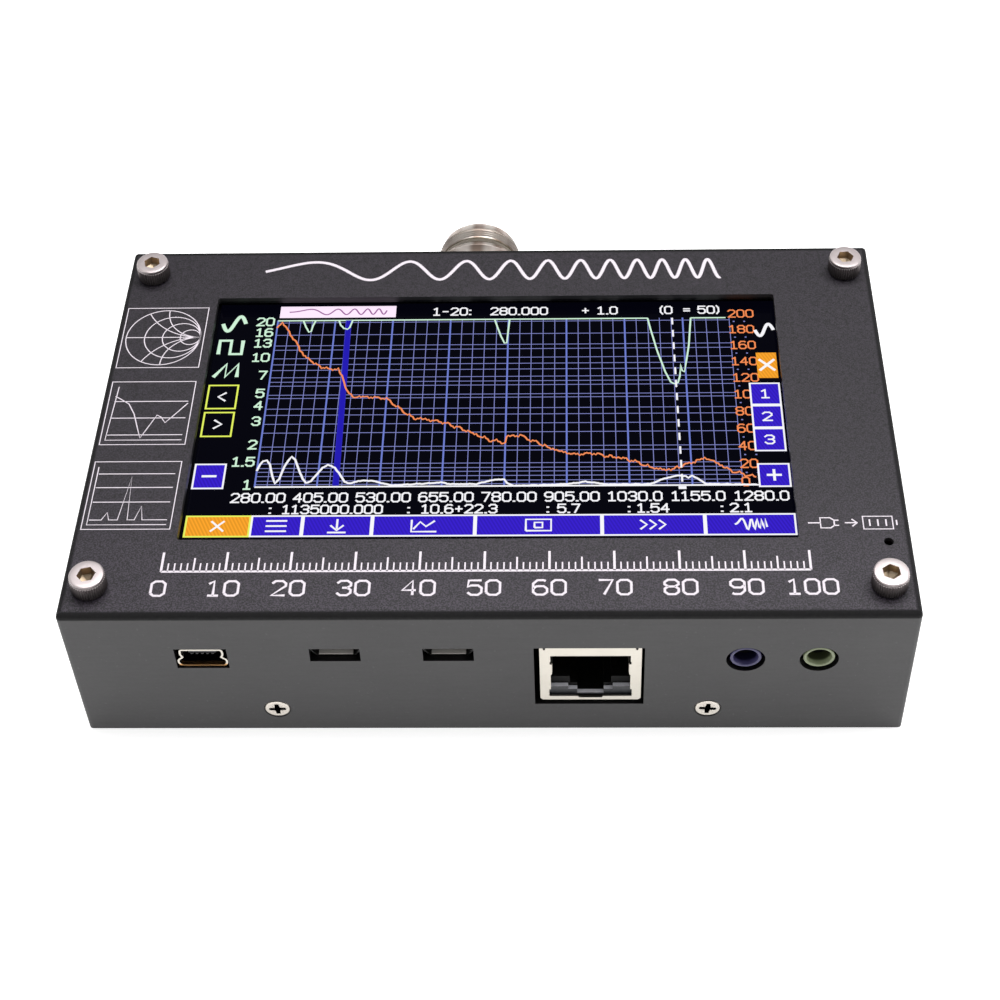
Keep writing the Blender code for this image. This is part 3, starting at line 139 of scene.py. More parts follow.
class Finish:
    """A node material that is built up by expressions."""

    def __init__(self, name, base, roughness, metallic=0.0, **fixed):
        self.material = bpy.data.materials.new(name)
        self.material.use_nodes = True
        self.tree = self.material.node_tree
        self.shader = self.tree.nodes["Principled BSDF"]
        self.set("Base Color", base)
        self.set("Roughness", roughness)
        self.set("Metallic", metallic)
        for socket, value in fixed.items():
            self.set(socket.replace("_", " "), value)

    def node(self, kind, settings=None, values=None):
        node = self.tree.nodes.new(kind)
        for name, value in (settings or {}).items():
            setattr(node, name, value)
        for name, value in (values or {}).items():
            self.put(node.inputs[name], value)
        return Outputs(self, node)

    def put(self, socket, value):
        if isinstance(value, Value):
            self.tree.links.new(value.socket, socket)
        elif isinstance(value, (tuple, list)) and len(value) == 3 and socket.type == "RGBA":
            socket.default_value = (*value, 1)
        else:
            socket.default_value = value

    def set(self, socket, value):
        self.put(self.shader.inputs[socket], value)

    def place(self):
        return self.node("ShaderNodeTexCoord")["Object"]

    def split(self, vector):
        parts = self.node("ShaderNodeSeparateXYZ", None, {"Vector": vector})
        return parts["X"], parts["Y"], parts["Z"]

    def axes(self):
        """The place on the part along X, Y and Z."""
        return self.split(self.place())

    def facing(self):
        """How far the surface faces X, Y and Z."""
        return self.split(self.node("ShaderNodeNewGeometry")["Normal"])

    def noise(self, scale, detail=2.0, roughness=0.5, stretch=(1, 1, 1)):
        """Cloudy values from 0 to 1; scale is in features to the metre."""
        values = {"Vector": self.place(), "Scale": stretch}
        moved = self.node("ShaderNodeMapping", None, values)["Vector"]
        values = {"Vector": moved, "Scale": scale, "Detail": detail, "Roughness": roughness}
        return self.node("ShaderNodeTexNoise", None, values)["Fac"]

    def mix(self, share, first, second):
        """A colour between two; share 0 gives the first."""
        return self.node("ShaderNodeMix", {"data_type": "RGBA"}, {0: share, 6: first, 7: second})[2]

    def done(self, colour, roughness, height=None, distance=0.0, strength=1.0):
        """Sets what varies over the surface, with a bump for a height, and gives the material."""
        self.set("Base Color", colour)
        self.set("Roughness", roughness)
        if height:
            values = {"Height": height, "Distance": distance, "Strength": strength}
            self.set("Normal", self.node("ShaderNodeBump", None, values)["Normal"])
        return self.material


def shade(colour, factor):
    return tuple(part * factor for part in colour)


def powder_coat(name, top_colour, side_colour, cut_shade_colour):
    """Fine paint, speckled on the top and faintly brushed on the walls, with painted glints, painted
    highlights on the grain towards the front, and painted shade along the top bends and on the cut faces
    inside.
    """
    finish = Finish(name, top_colour, 0.5)
    across, along, level = finish.axes()
    _, _, up = finish.facing()
    top = up.between(0.45, 0.75)
    grain = finish.noise(1900, 3.0, 0.7)
    clouds = finish.noise(70, 3.0)
    wrinkles = finish.noise(4000, 1.0, 0.6).between(0.46, 0.60)
    # Painted highlights: sparse bright glints on the top
    glints = finish.noise(2900, 1.0).between(0.60, 0.74)
    # Painted glints: sparse bright dots on the walls
    side_glints = finish.noise(1500, 0.0).between(0.76, 0.82)
    # Painted highlight: the grain and glints on the top grow lighter towards the front edge, where the
    # light catches them
    front_highlight = (along * -1).between(0.005, 0.040)
    brushed = finish.noise(430, 4.0, 0.62, (0.5, 0.5, 4.0))
    dark_top = finish.mix(grain.between(0.3, 0.7), shade(top_colour, 0.12), shade(top_colour, 1.15))
    wrinkled_top = finish.mix(wrinkles * (0.40 + front_highlight * 0.5), dark_top, shade(top_colour, 2.9))
    lit_top = finish.mix(glints * (0.06 + front_highlight * 0.34), wrinkled_top, shade(top_colour, 4.5))
    dark_side = finish.mix(brushed, shade(side_colour, 0.74), shade(side_colour, 1.26))
    lit_side = finish.mix(side_glints * 0.35, dark_side, shade(side_colour, 2.6))
    painted = finish.mix(top, lit_side, lit_top)
    clouded = finish.mix(clouds * 0.3, painted, shade(top_colour, 0.6))
    # Painted shade: a dark band along the top bends at the sides and ends
    near_side = across.size().between(HALF_WIDTH - 1.1 * MM, HALF_WIDTH - 0.6 * MM) * 0.85
    near_end = along.size().between(-FRONT_FACE - 1.3 * MM, -FRONT_FACE - 0.7 * MM)
    bend_shade = near_side.math("MAXIMUM", near_end) * level.between(CASE_TOP - 1.0 * MM, CASE_TOP - 0.7 * MM)
    bend_shaded = finish.mix(bend_shade * 0.97, clouded, shade(cut_shade_colour, 0.5))
    # Painted shade: the cut faces in the holes and the inner faces of the walls are painted near black
    inset_x = across.size().below(HALF_WIDTH - 0.05 * MM)
    inset_y = along.size().below(-FRONT_FACE - 0.05 * MM)
    inner = inset_x * inset_y * level.below(CASE_TOP - 0.75 * MM)
    colour = finish.mix(inner, bend_shaded, cut_shade_colour)
    roughness = 0.36 + top * 0.08 + grain * 0.16 + clouds * 0.06 + bend_shade * 0.35
    height = grain * (0.25 + top * 0.75) + brushed * 0.15
    return finish.done(colour, roughness, height, 0.05 * MM, 0.6)


def plated_metal(name, colour, roughness, grain=(1, 1, 1), tint=None, metallic=1.0):
    finish = Finish(name, colour, roughness, metallic)
    scratch = finish.noise(900, 4.0, 0.6, grain)
    clouds = finish.noise(260, 2.0)
    warm = finish.mix(clouds, colour, tint or shade(colour, 0.82))
    worn = finish.mix(scratch.between(0.55, 0.8) * 0.25, warm, shade(colour, 0.6))
    roughness = roughness + (scratch - 0.5) * 0.12 + clouds * 0.05
    return finish.done(worn, roughness, scratch, 0.01 * MM, 0.4)


def moulded(name, colour, roughness):
    """Moulded plastic with a fine spark-eroded texture."""
    finish = Finish(name, colour, roughness)
    fine = finish.noise(1800, 2.0)
    clouds = finish.noise(220, 2.0)
    clouded = finish.mix(clouds, shade(colour, 0.85), shade(colour, 1.2))
    return finish.done(clouded, roughness + (fine - 0.5) * 0.15, fine, 0.02 * MM, 0.5)


def circuit_board(name, mask, track):
    """Solder mask over fine copper tracks, with glass weave on the cut edges."""
    finish = Finish(name, mask, 0.35)
    across, along, _ = finish.axes()
    _, _, up = finish.facing()
    flat = up.size().above(0.5)
    bends = finish.noise(160, 1.0)
    first = ((across * 5200 + bends * 9).wave()).above(0.62)
    second = ((along * 5200 + bends * 9).wave()).above(0.62)
    choice = finish.noise(110, 0.0).above(0.5)
    tracks = (first * choice + second * (1 - choice)) * finish.noise(70, 0.0).above(0.44)
    surface = finish.mix(tracks, mask, track)
    weave = ((across * 9000).wave() + (along * 9000).wave()) * 0.25 + 0.5
    edge = finish.mix(weave, (0.32, 0.28, 0.14), (0.45, 0.40, 0.22))
    colour = finish.mix(flat, edge, surface)
    return finish.done(colour, 0.3 + weave * 0.1, tracks * flat, 0.03 * MM, 0.6)


def printed_ink(name, colour):
    finish = Finish(name, colour, 0.5)
    worn = finish.noise(3800, 2.0)
    tone = finish.mix(worn, shade(colour, 0.82), shade(colour, 1.08))
    return finish.done(tone, 0.42 + worn * 0.2, worn, 0.02 * MM, 0.4)


def lit_dots(name, colour, glow=1.0, hatch=0.0):
    """A lit colour of the display, with the fine slanting shimmer of its dots."""
    fixed = {"Emission_Strength": glow, "Specular_IOR_Level": 0.3}
    finish = Finish(name, shade(colour, 0.05), 0.06, 0.0, **fixed)
    across, along, _ = finish.axes()
    lines = ((across * 2 + along) * (2 * math.pi / (1.15 * MM))).wave() * 0.5 + 0.5
    rows = (along * (2 * math.pi / DOT)).wave() * 0.5 + 0.5
    shimmer = lines * hatch + rows * 0.10
    finish.set("Emission Color", finish.mix(shimmer, colour, shade(colour, 0.45)))
    return finish.material


def dark_glass(name, colour):
    finish = Finish(name, colour, 0.06)
    smears = finish.noise(60, 3.0, 0.6, (1, 3, 1))
    dust = finish.noise(1500, 1.0).above(0.74)
    dusty = finish.mix(dust * 0.3, colour, (0.02, 0.02, 0.022))
    return finish.done(dusty, 0.04 + smears * 0.05 + dust * 0.2)


def pouch_film(name):
    finish = Finish(name, (0.42, 0.44, 0.48), 0.3, 0.6)
    creases = finish.noise(300, 4.0, 0.7, (1, 0.4, 1))
    tone = finish.mix(creases, (0.30, 0.32, 0.36), (0.55, 0.57, 0.60))
    return finish.done(tone, 0.25 + creases * 0.25, creases, 0.3 * MM, 0.5)


def socket_metal(name, rim_colour, floor_colour, shell_node, floor_height):
    """A plated shell: bright rim, tinted floor, and painted shade further in."""
    low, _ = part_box(shell_node)
    finish = Finish(name, rim_colour, 0.3, 1.0)
    _, along, level = finish.axes()
    clouds = finish.noise(900, 3.0)
    floor = level.below(low.z + floor_height)
    # Painted shade deeper inside the shell
    inside = along.between(low.y + 0.3 * MM, low.y + 0.9 * MM)
    colour = finish.mix(floor, rim_colour, floor_colour)
    worn = finish.mix(clouds * 0.35, colour, shade(rim_colour, 0.6))
    recess_shaded = finish.mix(inside, worn, (0.012, 0.011, 0.011))
    return finish.done(recess_shaded, 0.25 + clouds * 0.12 + inside * 0.3, clouds, 0.01 * MM, 0.4)


def turned_metal(name, highlight_colour, dark_reflection_colour, warm_colour):
    """Turned and plated metal with painted reflections: two painted highlight stripes along Y, dark flanks
    painted as reflections, and painted shade in the groove.
    """
    finish = Finish(name, highlight_colour, 0.3, 0.82)
    _, along, _ = finish.axes()
    # Painted reflection: noise stripes of light along Y
    reflection_streaks = finish.noise(330, 1.0, 0.5, (1, 0.04, 1))
    warm = finish.noise(240, 2.0, 0.5, (1, 0.05, 1))
    rings = finish.noise(500, 3.0, 0.6, (0.1, 9, 0.1))
    sideways, forward, _ = finish.facing()
    on_end = forward.size().between(0.6, 0.9)
    lean = sideways.size()
    # Painted reflection of two strip lights, placed by how far the surface faces sideways
    glow = lean.between(0.05, 0.20) - lean.between(0.28, 0.46)
    plain = finish.mix(reflection_streaks.between(0.40, 0.60) * 0.3 + glow * 0.7, dark_reflection_colour, highlight_colour)
    warmed = finish.mix(warm.between(0.42, 0.65) * 0.35, plain, warm_colour)
    # Painted dark reflection on the flanks
    flank_reflected = finish.mix(lean.between(0.55, 0.85) * 0.88, warmed, shade(dark_reflection_colour, 0.3))
    # Painted shade in the groove behind the thread
    groove_shade_start = along.between(JACK_SEAT + 8.5 * MM, JACK_SEAT + 8.9 * MM)
    groove = groove_shade_start - along.between(JACK_SEAT + 9.9 * MM, JACK_SEAT + 10.2 * MM)
    groove_shaded = finish.mix(groove * 0.9, flank_reflected, (0.10, 0.085, 0.05))
    colour = finish.mix(on_end * 0.85, groove_shaded, shade(highlight_colour, 0.85))
    roughness = 0.36 + reflection_streaks * 0.12 + rings * 0.05 + groove * 0.2
    return finish.done(colour, roughness, rings, 0.01 * MM, 0.2)


def screw_head_metal(name, top_colour, side_colour):
    """Bright satin on the top of a screw head, with painted shade darkening its knurled side down to the
    seat.
    """
    finish = Finish(name, top_colour, 0.36, 0.72)
    _, _, level = finish.axes()
    _, _, up = finish.facing()
    scratch = finish.noise(900, 4.0, 0.6)
    clouds = finish.noise(260, 2.0)
    # Painted shade: the side much darker than the top, and darkest at the seat
    height = level.between(CASE_TOP + 0.2 * MM, CASE_TOP + 3.3 * MM)
    side = finish.mix(height, shade(side_colour, 0.3), side_colour)
    worn = finish.mix(clouds * 0.6, top_colour, shade(top_colour, 0.8))
    colour = finish.mix(up.between(0.2, 0.6), side, worn)
    scratched = finish.mix(scratch.between(0.55, 0.8) * 0.25, colour, shade(side_colour, 0.8))
    roughness = 0.34 + (scratch - 0.5) * 0.12 + clouds * 0.05
    return finish.done(scratched, roughness, scratch, 0.01 * MM, 0.4)


def jack_plastic(name, rim_colour, bore_shade_colour, node):
    """Coloured plastic, paler on its lip, with painted shade darkening it inside its bore."""
    low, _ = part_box(node)
    finish = Finish(name, rim_colour, 0.3)
    _, along, _ = finish.axes()
    fine = finish.noise(1800, 2.0)
    # Painted shade deeper in the bore
    inside = along.between(low.y + 0.15 * MM, low.y + 0.7 * MM)
    colour = finish.mix(inside, rim_colour, bore_shade_colour)
    worn = finish.mix(fine * 0.3, colour, shade(bore_shade_colour, 0.6))
    return finish.done(worn, 0.28 + fine * 0.12, fine, 0.02 * MM, 0.5)


def socket_plastic(name):
    """Black moulding with smoky light blocks at the front of its lower corners, their upward faces lit by a
    painted highlight.
    """
    finish = Finish(name, linear(18, 18, 20), 0.35)
    _, along, level = finish.axes()
    _, _, up = finish.facing()
    low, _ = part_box("network_socket_insert")
    front = along.below(low.y + 0.65 * MM) * level.below(low.z + 3.4 * MM)
    fine = finish.noise(1400, 2.0)
    # Painted highlight: the upward faces of the light blocks near white, their other faces grey
    block_lit_top = finish.mix(up.above(0.5), linear(66, 67, 71), linear(240, 240, 248))
    colour = finish.mix(front, linear(2, 2, 2), block_lit_top)
    worn = finish.mix(fine * 0.3, colour, linear(6, 6, 7))
    return finish.done(worn, 0.85 - front * 0.43 + fine * 0.1, fine, 0.02 * MM, 0.5)


TOP_PAINT = linear(38, 33, 41)
SIDE_PAINT = linear(49, 48, 49)
# Painted shade for the cut faces inside the case
CUT_SHADE = linear(13, 12, 14)
COPPER = (0.75, 0.38, 0.12)
CREAM_METAL = (0.62, 0.585, 0.52)
FINISHES = {name: maker(name, *values) for name, maker, *values in (
    ("case_black", powder_coat, TOP_PAINT, SIDE_PAINT, CUT_SHADE),
    ("screw_steel", plated_metal, (0.66, 0.64, 0.62), 0.3),
    # Cap screws: the top's colour and the painted shade colour of the knurled side
    ("cap_steel", screw_head_metal, (0.80, 0.71, 0.71), (0.24, 0.21, 0.21)),
    ("cap_socket", plated_metal, (0.56, 0.45, 0.32), 0.34, (1, 1, 1), (0.36, 0.26, 0.17), 0.8),
    ("screw_nickel", plated_metal, (0.70, 0.66, 0.60), 0.3, (1, 1, 1), (0.62, 0.56, 0.50)),
    ("screw_recess", plated_metal, (0.42, 0.38, 0.30), 0.4),
    ("nickel", plated_metal, (0.74, 0.67, 0.60), 0.25, (1, 1, 1), (0.62, 0.53, 0.46)),
    # Antenna jack: painted highlight colour, painted dark reflection colour and a warm tone
    ("turned_nickel", turned_metal, (0.99, 0.93, 0.87), (0.36, 0.27, 0.22), (0.86, 0.66, 0.60)),
    ("brass", plated_metal, (0.80, 0.60, 0.24), 0.25),
    ("socket_shield", plated_metal, CREAM_METAL, 0.34, (1, 1, 5), (0.55, 0.515, 0.455)),
    ("mini_usb_metal", socket_metal, CREAM_METAL, COPPER, "mini_usb_shell", 0.30 * MM),
    # Painted shade: near-black metal for the micro USB shells, which sit in shadow
    ("micro_usb_metal", plated_metal, (0.10, 0.10, 0.10), 0.4),
    # Painted light: a pale floor inside the micro USB shells stands in for the light on it
    ("micro_usb_floor", moulded, linear(196, 192, 186), 0.4),
    ("socket_insert", socket_plastic),
    ("dark_contact", plated_metal, (0.06, 0.06, 0.06), 0.4),
    ("tongue_dark", moulded, linear(58, 58, 60), 0.35),
    ("board_green", circuit_board, (0.010, 0.075, 0.030), (0.03, 0.16, 0.06)),
    ("board_blue", circuit_board, (0.008, 0.020, 0.110), (0.02, 0.06, 0.22)),
    ("touch_glass", dark_glass, linear(9, 9, 13)),
    ("display_glass", dark_glass, linear(16, 16, 20)),
    ("backlight", moulded, (0.55, 0.55, 0.56), 0.4),
    ("plastic_black", moulded, linear(34, 34, 36), 0.34),
    ("button_blue", moulded, linear(38, 70, 150), 0.35),
    # Audio jacks: the lip's own colour and the painted shade colour of the bore
    ("jack_blue", jack_plastic, linear(72, 68, 112), linear(22, 20, 48), "audio_jack_blue"),
    ("jack_green", jack_plastic, linear(150, 160, 126), linear(66, 72, 48), "audio_jack_green"),
    ("light_red", moulded, linear(150, 40, 34), 0.15),
    ("insulator", moulded, (0.78, 0.76, 0.71), 0.45),
    ("battery_wrap", pouch_film),
    ("lead_red", moulded, (0.40, 0.015, 0.015), 0.4),
)}
INK = printed_ink("ink_white", linear(226, 217, 226))
PICTURE = {
    "ground": lit_dots("picture_ground", linear(4, 4, 14), 0.8),
    "minor": lit_dots("picture_minor_grid", linear(128, 134, 198)),
    "major": lit_dots("picture_major_grid", linear(108, 124, 205)),
    "label": lit_dots("picture_label", linear(252, 232, 252)),
    "purple": lit_dots("picture_purple", linear(150, 90, 150)),
    "white": lit_dots("picture_white", linear(244, 244, 248)),
    "pale": lit_dots("picture_pale_green", linear(206, 240, 214)),
    "orange": lit_dots("picture_orange", linear(244, 140, 84)),
    "key_orange": lit_dots("picture_key_orange", linear(252, 166, 44), 1.0, 0.45),
    "key_blue": lit_dots("picture_key_blue", linear(56, 32, 206), 1.0, 0.5),
    "band": lit_dots("picture_band", linear(34, 26, 176)),
    "yellow": lit_dots("picture_yellow", linear(226, 240, 96)),
}


# Pieces


def add_piece(name, mesh, material, body=CASE, instead_of=()):
    """Puts a finished mesh in the scene as a piece that moves with a body."""
    piece = bpy.data.objects.new(name, mesh)
    bpy.context.scene.collection.objects.link(piece)
    mesh.materials.clear()
    mesh.materials.append(material)
    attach(piece, body)
    if instead_of:
        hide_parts(*instead_of)


def plain_mesh(shape, name):
    mesh = bpy.data.meshes.new(name)
    shape.to_mesh(mesh)
    shape.free()
    return mesh


def add_shape(name, shape, finish, node=None, smooth_angle=35):
    """Adds a bmesh as a smooth piece of the case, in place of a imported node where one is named."""
    bmesh.ops.remove_doubles(shape, verts=shape.verts, dist=SAME_POINT)
    bmesh.ops.recalc_face_normals(shape, faces=shape.faces)
    mesh = plain_mesh(shape, name)
    mesh.shade_smooth()
    mesh.set_sharp_from_angle(angle=math.radians(smooth_angle))
    add_piece(name, mesh, FINISHES[finish], CASE, (node,) if node else ())


def flat_bar(shape, start, end, width, level, height=PICTURE_LAYER):
    """A flat strip from start to end, both (x, y)."""
    start, end = Vector((*start, level)), Vector((*end, level))
    run = end - start
    turn = Matrix.Rotation(math.atan2(run.y, run.x), 4, "Z")
    size = Matrix.Diagonal((run.length, width, height, 1))
    bmesh.ops.create_cube(shape, size=1, matrix=Matrix.Translation((start + end) / 2) @ turn @ size)


def curve_mesh(curve, lines, closed):
    """A mesh from a curve that runs straight through the points of each line."""
    for points in lines:
        spline = curve.splines.new("POLY")
        spline.points.add(len(points) - 1)
        for corner, (x, y) in zip(spline.points, points):
            corner.co = (x, y, 0, 1)
        spline.use_cyclic_u = closed
    holder = bpy.data.objects.new("line", curve)
    bpy.context.scene.collection.objects.link(holder)
    graph = bpy.context.evaluated_depsgraph_get()
    mesh = bpy.data.meshes.new_from_object(holder.evaluated_get(graph))
    bpy.data.objects.remove(holder)
    return mesh


def ribbon(points, width, level, height, closed=False):
    """A printed line through points, as a flattened tube."""
    curve = bpy.data.curves.new("line", "CURVE")
    curve.dimensions = "3D"
    curve.bevel_depth = width / 2
    curve.bevel_resolution = 1
    curve.use_fill_caps = True
    mesh = curve_mesh(curve, [points], closed)
    mesh.transform(Matrix.Translation((0, 0, level)) @ Matrix.Diagonal((1, 1, height / width, 1)))
    return mesh


# Strokes of plain figures on a grid 4 wide and 6 high
STROKES = {
    "0": [[(0, 1), (0, 5), (1, 6), (3, 6), (4, 5), (4, 1), (3, 0), (1, 0), (0, 1)]],
    "1": [[(0.3, 4.9), (1.8, 6), (1.8, 0)], [(0.2, 0), (3.4, 0)]],
    "2": [[(0, 5), (1, 6), (3, 6), (4, 5), (4, 3.9), (0, 0), (4, 0)]],
    "3": [[(0, 5), (1, 6), (3, 6), (4, 5), (4, 4), (3, 3.1), (1.5, 3.1)],
          [(3, 3.1), (4, 2.2), (4, 1), (3, 0), (1, 0), (0, 1)]],
    "4": [[(3, 0), (3, 6), (0, 2), (4, 2)]],
    "5": [[(4, 6), (0.3, 6), (0, 3.3), (1, 3.9), (3, 3.9), (4, 2.9), (4, 1), (3, 0), (1, 0), (0, 1)]],
    "6": [[(3.6, 5.6), (3, 6), (1.2, 6), (0, 4.6), (0, 1), (1, 0), (3, 0), (4, 1), (4, 2.5), (3, 3.5),
           (1, 3.5), (0, 2.5)]],
    "7": [[(0, 6), (4, 6), (1.5, 0)]],
    "8": [[(1, 3.2), (0, 4.1), (0, 5), (1, 6), (3, 6), (4, 5), (4, 4.1), (3, 3.2), (1, 3.2), (0, 2.3),
           (0, 1), (1, 0), (3, 0), (4, 1), (4, 2.3), (3, 3.2)]],
    "9": [[(0.4, 0.4), (1, 0), (2.8, 0), (4, 1.4), (4, 5), (3, 6), (1, 6), (0, 5), (0, 3.7), (1, 2.7),
           (3, 2.7), (4, 3.6)]],
    ".": [[(0.1, 0), (0.8, 0)]],
    ":": [[(0.1, 0.4), (0.8, 0.4)], [(0.1, 4), (0.8, 4)]],
    "-": [[(0.6, 3), (3.4, 3)]],
    "+": [[(0.4, 3), (3.6, 3)], [(2, 1.2), (2, 4.8)]],
    "=": [[(0.4, 2.1), (3.6, 2.1)], [(0.4, 3.9), (3.6, 3.9)]],
    "(": [[(1.5, 6.4), (0.4, 4.6), (0.4, 1.4), (1.5, -0.4)]],
    ")": [[(0.1, 6.4), (1.2, 4.6), (1.2, 1.4), (0.1, -0.4)]],
}
STROKE_ROWS = 6
STROKE_WIDTHS = {".": 0.9, ":": 0.9, "(": 1.6, ")": 1.6, "1": 3.6}
STROKE_WIDTH = 4
STROKE_GAP = 1.35


def figure_lines(text, size, stretch, place, align):
    """Polylines for a number; size is the height of a figure and place its middle or edge."""
    unit_y = size / STROKE_ROWS
    unit_x = unit_y * stretch
    widths = [STROKE_WIDTHS.get(sign, STROKE_WIDTH) for sign in text]
    length = (sum(widths) + (len(text) - 1) * STROKE_GAP) * unit_x
    left = place[0] - {"LEFT": 0, "CENTER": length / 2, "RIGHT": length}[align]
    lines = []
    for sign, width in zip(text, widths):
        for line in STROKES[sign]:
            lines.append([(left + u * unit_x, place[1] - size / 2 + v * unit_y) for u, v in line])
        left += (width + STROKE_GAP) * unit_x
    return lines


def lathe(profile, steps):
    """A profile of (radius, height) points spun round Z."""
    shape = bmesh.new()
    points = [shape.verts.new((radius, 0, height)) for radius, height in profile]
    for first, second in zip(points, points[1:]):
        shape.edges.new((first, second))
    geometry = shape.verts[:] + shape.edges[:]
    bmesh.ops.spin(shape, geom=geometry, axis=(0, 0, 1), angle=2 * math.pi, steps=steps, use_merge=True)
    bmesh.ops.remove_doubles(shape, verts=shape.verts, dist=SAME_POINT)
    return shape


def loop_shape(points, cuts=0):
    """A closed loop of edges through (x, y) points, each side divided by cuts."""
    shape = bmesh.new()
    corners = [shape.verts.new((x, y, 0)) for x, y in points]
    for first, second in zip(corners, corners[1:] + corners[:1]):
        shape.edges.new((first, second))
    if cuts:
        bmesh.ops.subdivide_edges(shape, edges=shape.edges[:], cuts=cuts)
    return shape


def mirrored(points):
    """A right-hand outline, top to bottom, completed with its mirror image."""
    return points + [(-x, y) for x, y in reversed(points) if x]


def put_in(shape, other):
    """Adds another bmesh to a shape and returns the new edges."""
    earlier = set(shape.edges)
    mesh = bpy.data.meshes.new("part")
    other.to_mesh(mesh)
    other.free()
    shape.from_mesh(mesh)
    bpy.data.meshes.remove(mesh)
    return [edge for edge in shape.edges if edge not in earlier]


def add_block(shape, low, high):
    low, high = Vector(low), Vector(high)
    size = Matrix.Diagonal((*(high - low), 1))
    bmesh.ops.create_cube(shape, size=1, matrix=Matrix.Translation((low + high) / 2) @ size)


def move(shape, matrix):
    bmesh.ops.transform(shape, matrix=matrix, verts=shape.verts)


def round_off(shape, parts, radius, segments, affect="EDGES"):
    """Rounds the given edges or corners."""
    bmesh.ops.bevel(
        shape, geom=parts, offset=radius, segments=segments, profile=0.5, affect=affect, material=-1,
    )


def soften(shape, radius, segments=2, angle=50):
    """Rounds the edges that are sharper than an angle."""
    limit = math.radians(angle)
    sharp = [edge for edge in shape.edges if edge.is_manifold and edge.calc_face_angle() > limit]
    round_off(shape, sharp, radius, segments)


def gather(meshes):
    """One bmesh from many meshes."""
    shape = bmesh.new()
    for mesh in meshes:
        shape.from_mesh(mesh)
        bpy.data.meshes.remove(mesh)
    return shape


# Panel print


def printed(points, weight, closed=False):
    """A printed line on the top of the case."""
    return ribbon(points, INK_LINE * weight, CASE_TOP, INK_HEIGHT, closed)


def arc_points(centre, radius, start, end, steps=40):
    turns = [start + (end - start) * step / steps for step in range(steps + 1)]
    return [(centre[0] + radius * math.cos(t), centre[1] + radius * math.sin(t)) for t in turns]


def reflection_chart():
    """The lines of a reflection chart in a circle of radius 1."""
    lines = [arc_points((0, 0), 1, 0, 2 * math.pi, 72), [(-1, 0), (1, 0)]]
    for share in (0.75, 0.51, 0.27):
        lines.append(arc_points((1 - share, 0), share, 0, 2 * math.pi, 60))
    for reactance in (0.6, 1.05):
        radius = 1 / reactance
        reach = 2 * math.atan(reactance)
        for side in (1, -1):
            start = -side * math.pi / 2
            lines.append(arc_points((1, side * radius), radius, start, start - side * reach, 30))
    return lines


def dip_graph():
    axes = [[(0.09, 0.92), (0.055, 0.07), (0.95, 0.07)]]
    levels = [[(0.07, v), (0.95, v)] for v in (0.68, 0.415, 0.15)]
    curve = [
        (0.07, 0.765), (0.14, 0.72), (0.25, 0.64), (0.335, 0.48), (0.40, 0.28), (0.46, 0.10),
        (0.51, 0.22), (0.61, 0.46), (0.66, 0.43), (0.72, 0.34), (0.79, 0.43), (0.95, 0.65),
    ]
    return axes + levels + [curve]


def peak_graph():
    axes = [[(0.055, 0.92), (0.055, 0.065), (0.95, 0.065)]]
    levels = [[(0.07, v), (0.95, v)] for v in (0.815, 0.61, 0.395)]
    curve = [
        (0.07, 0.135), (0.208, 0.135), (0.26, 0.243), (0.292, 0.135), (0.39, 0.135), (0.46, 0.77),
        (0.50, 0.135), (0.58, 0.135), (0.635, 0.335), (0.668, 0.135), (0.95, 0.135),
    ]
    return axes + levels + [curve]


def panel_drawings():
    """Three framed line drawings left of the display."""
    left, right = -63.15 * MM, -49.3 * MM
    circle_share = 0.455
    drawings = (
        (11.55 * MM, 25.7 * MM, reflection_chart(), True),
        (-5.6 * MM, 8.3 * MM, dip_graph(), False),
        (-23.1 * MM, -9.25 * MM, peak_graph(), False),
    )
    meshes = []
    for low, high, lines, centred in drawings:
        corners = [(left, low), (right, low), (right, high), (left, high)]
        meshes.append(printed(corners, 1.4, True))
        for line in lines:
            if centred:
                half_x, half_y = (right - left) * circle_share, (high - low) * circle_share
                centre_x, centre_y = (left + right) / 2, (low + high) / 2
                spots = [(centre_x + u * half_x, centre_y + v * half_y) for u, v in line]
            else:
                spots = [(left + u * (right - left), low + v * (high - low)) for u, v in line]
            meshes.append(printed(spots, 1.15))
    return meshes


def sweep_line():
    """A wave that quickens from left to right, in place of the title."""
    left, right, middle, height = -40.5 * MM, 38.5 * MM, 34.6 * MM, 2.3 * MM
    points = []
    steps = 620
    for step in range(steps + 1):
        along = step / steps
        turn = 2 * math.pi * (1.6 * along + 9.2 * along ** 2.2)
        points.append((left + (right - left) * along, middle + height * math.sin(turn)))
    return [printed(points, 4.0)]


def tick_scale():
    """A plain numbered scale below the display."""
    meshes = []
    left, right, line = -49.5 * MM, 48.5 * MM, -31.4 * MM
    shape = bmesh.new()
    flat_bar(shape, (left, line), (right, line), INK_LINE * 2.2, CASE_TOP, INK_HEIGHT)
    divisions = 10
    for step in range(divisions * 10 + 1):
        x = left + (right - left) * step / (divisions * 10)
        length, width = (3.7, 2.2) if step % 10 == 0 else (2.6, 1.6) if step % 5 == 0 else (1.6, 1.3)
        flat_bar(shape, (x, line), (x, line + length * MM), INK_LINE * width, CASE_TOP, INK_HEIGHT)
    meshes.append(plain_mesh(shape, "ticks"))
    for number in range(divisions + 1):
        x = left + (right - left) * number / divisions
        for stroke in figure_lines(str(number * 10), 2.7 * MM, 1.15, (x, line - 3.2 * MM), "CENTER"):
            meshes.append(printed(stroke, 2.8))
    return meshes


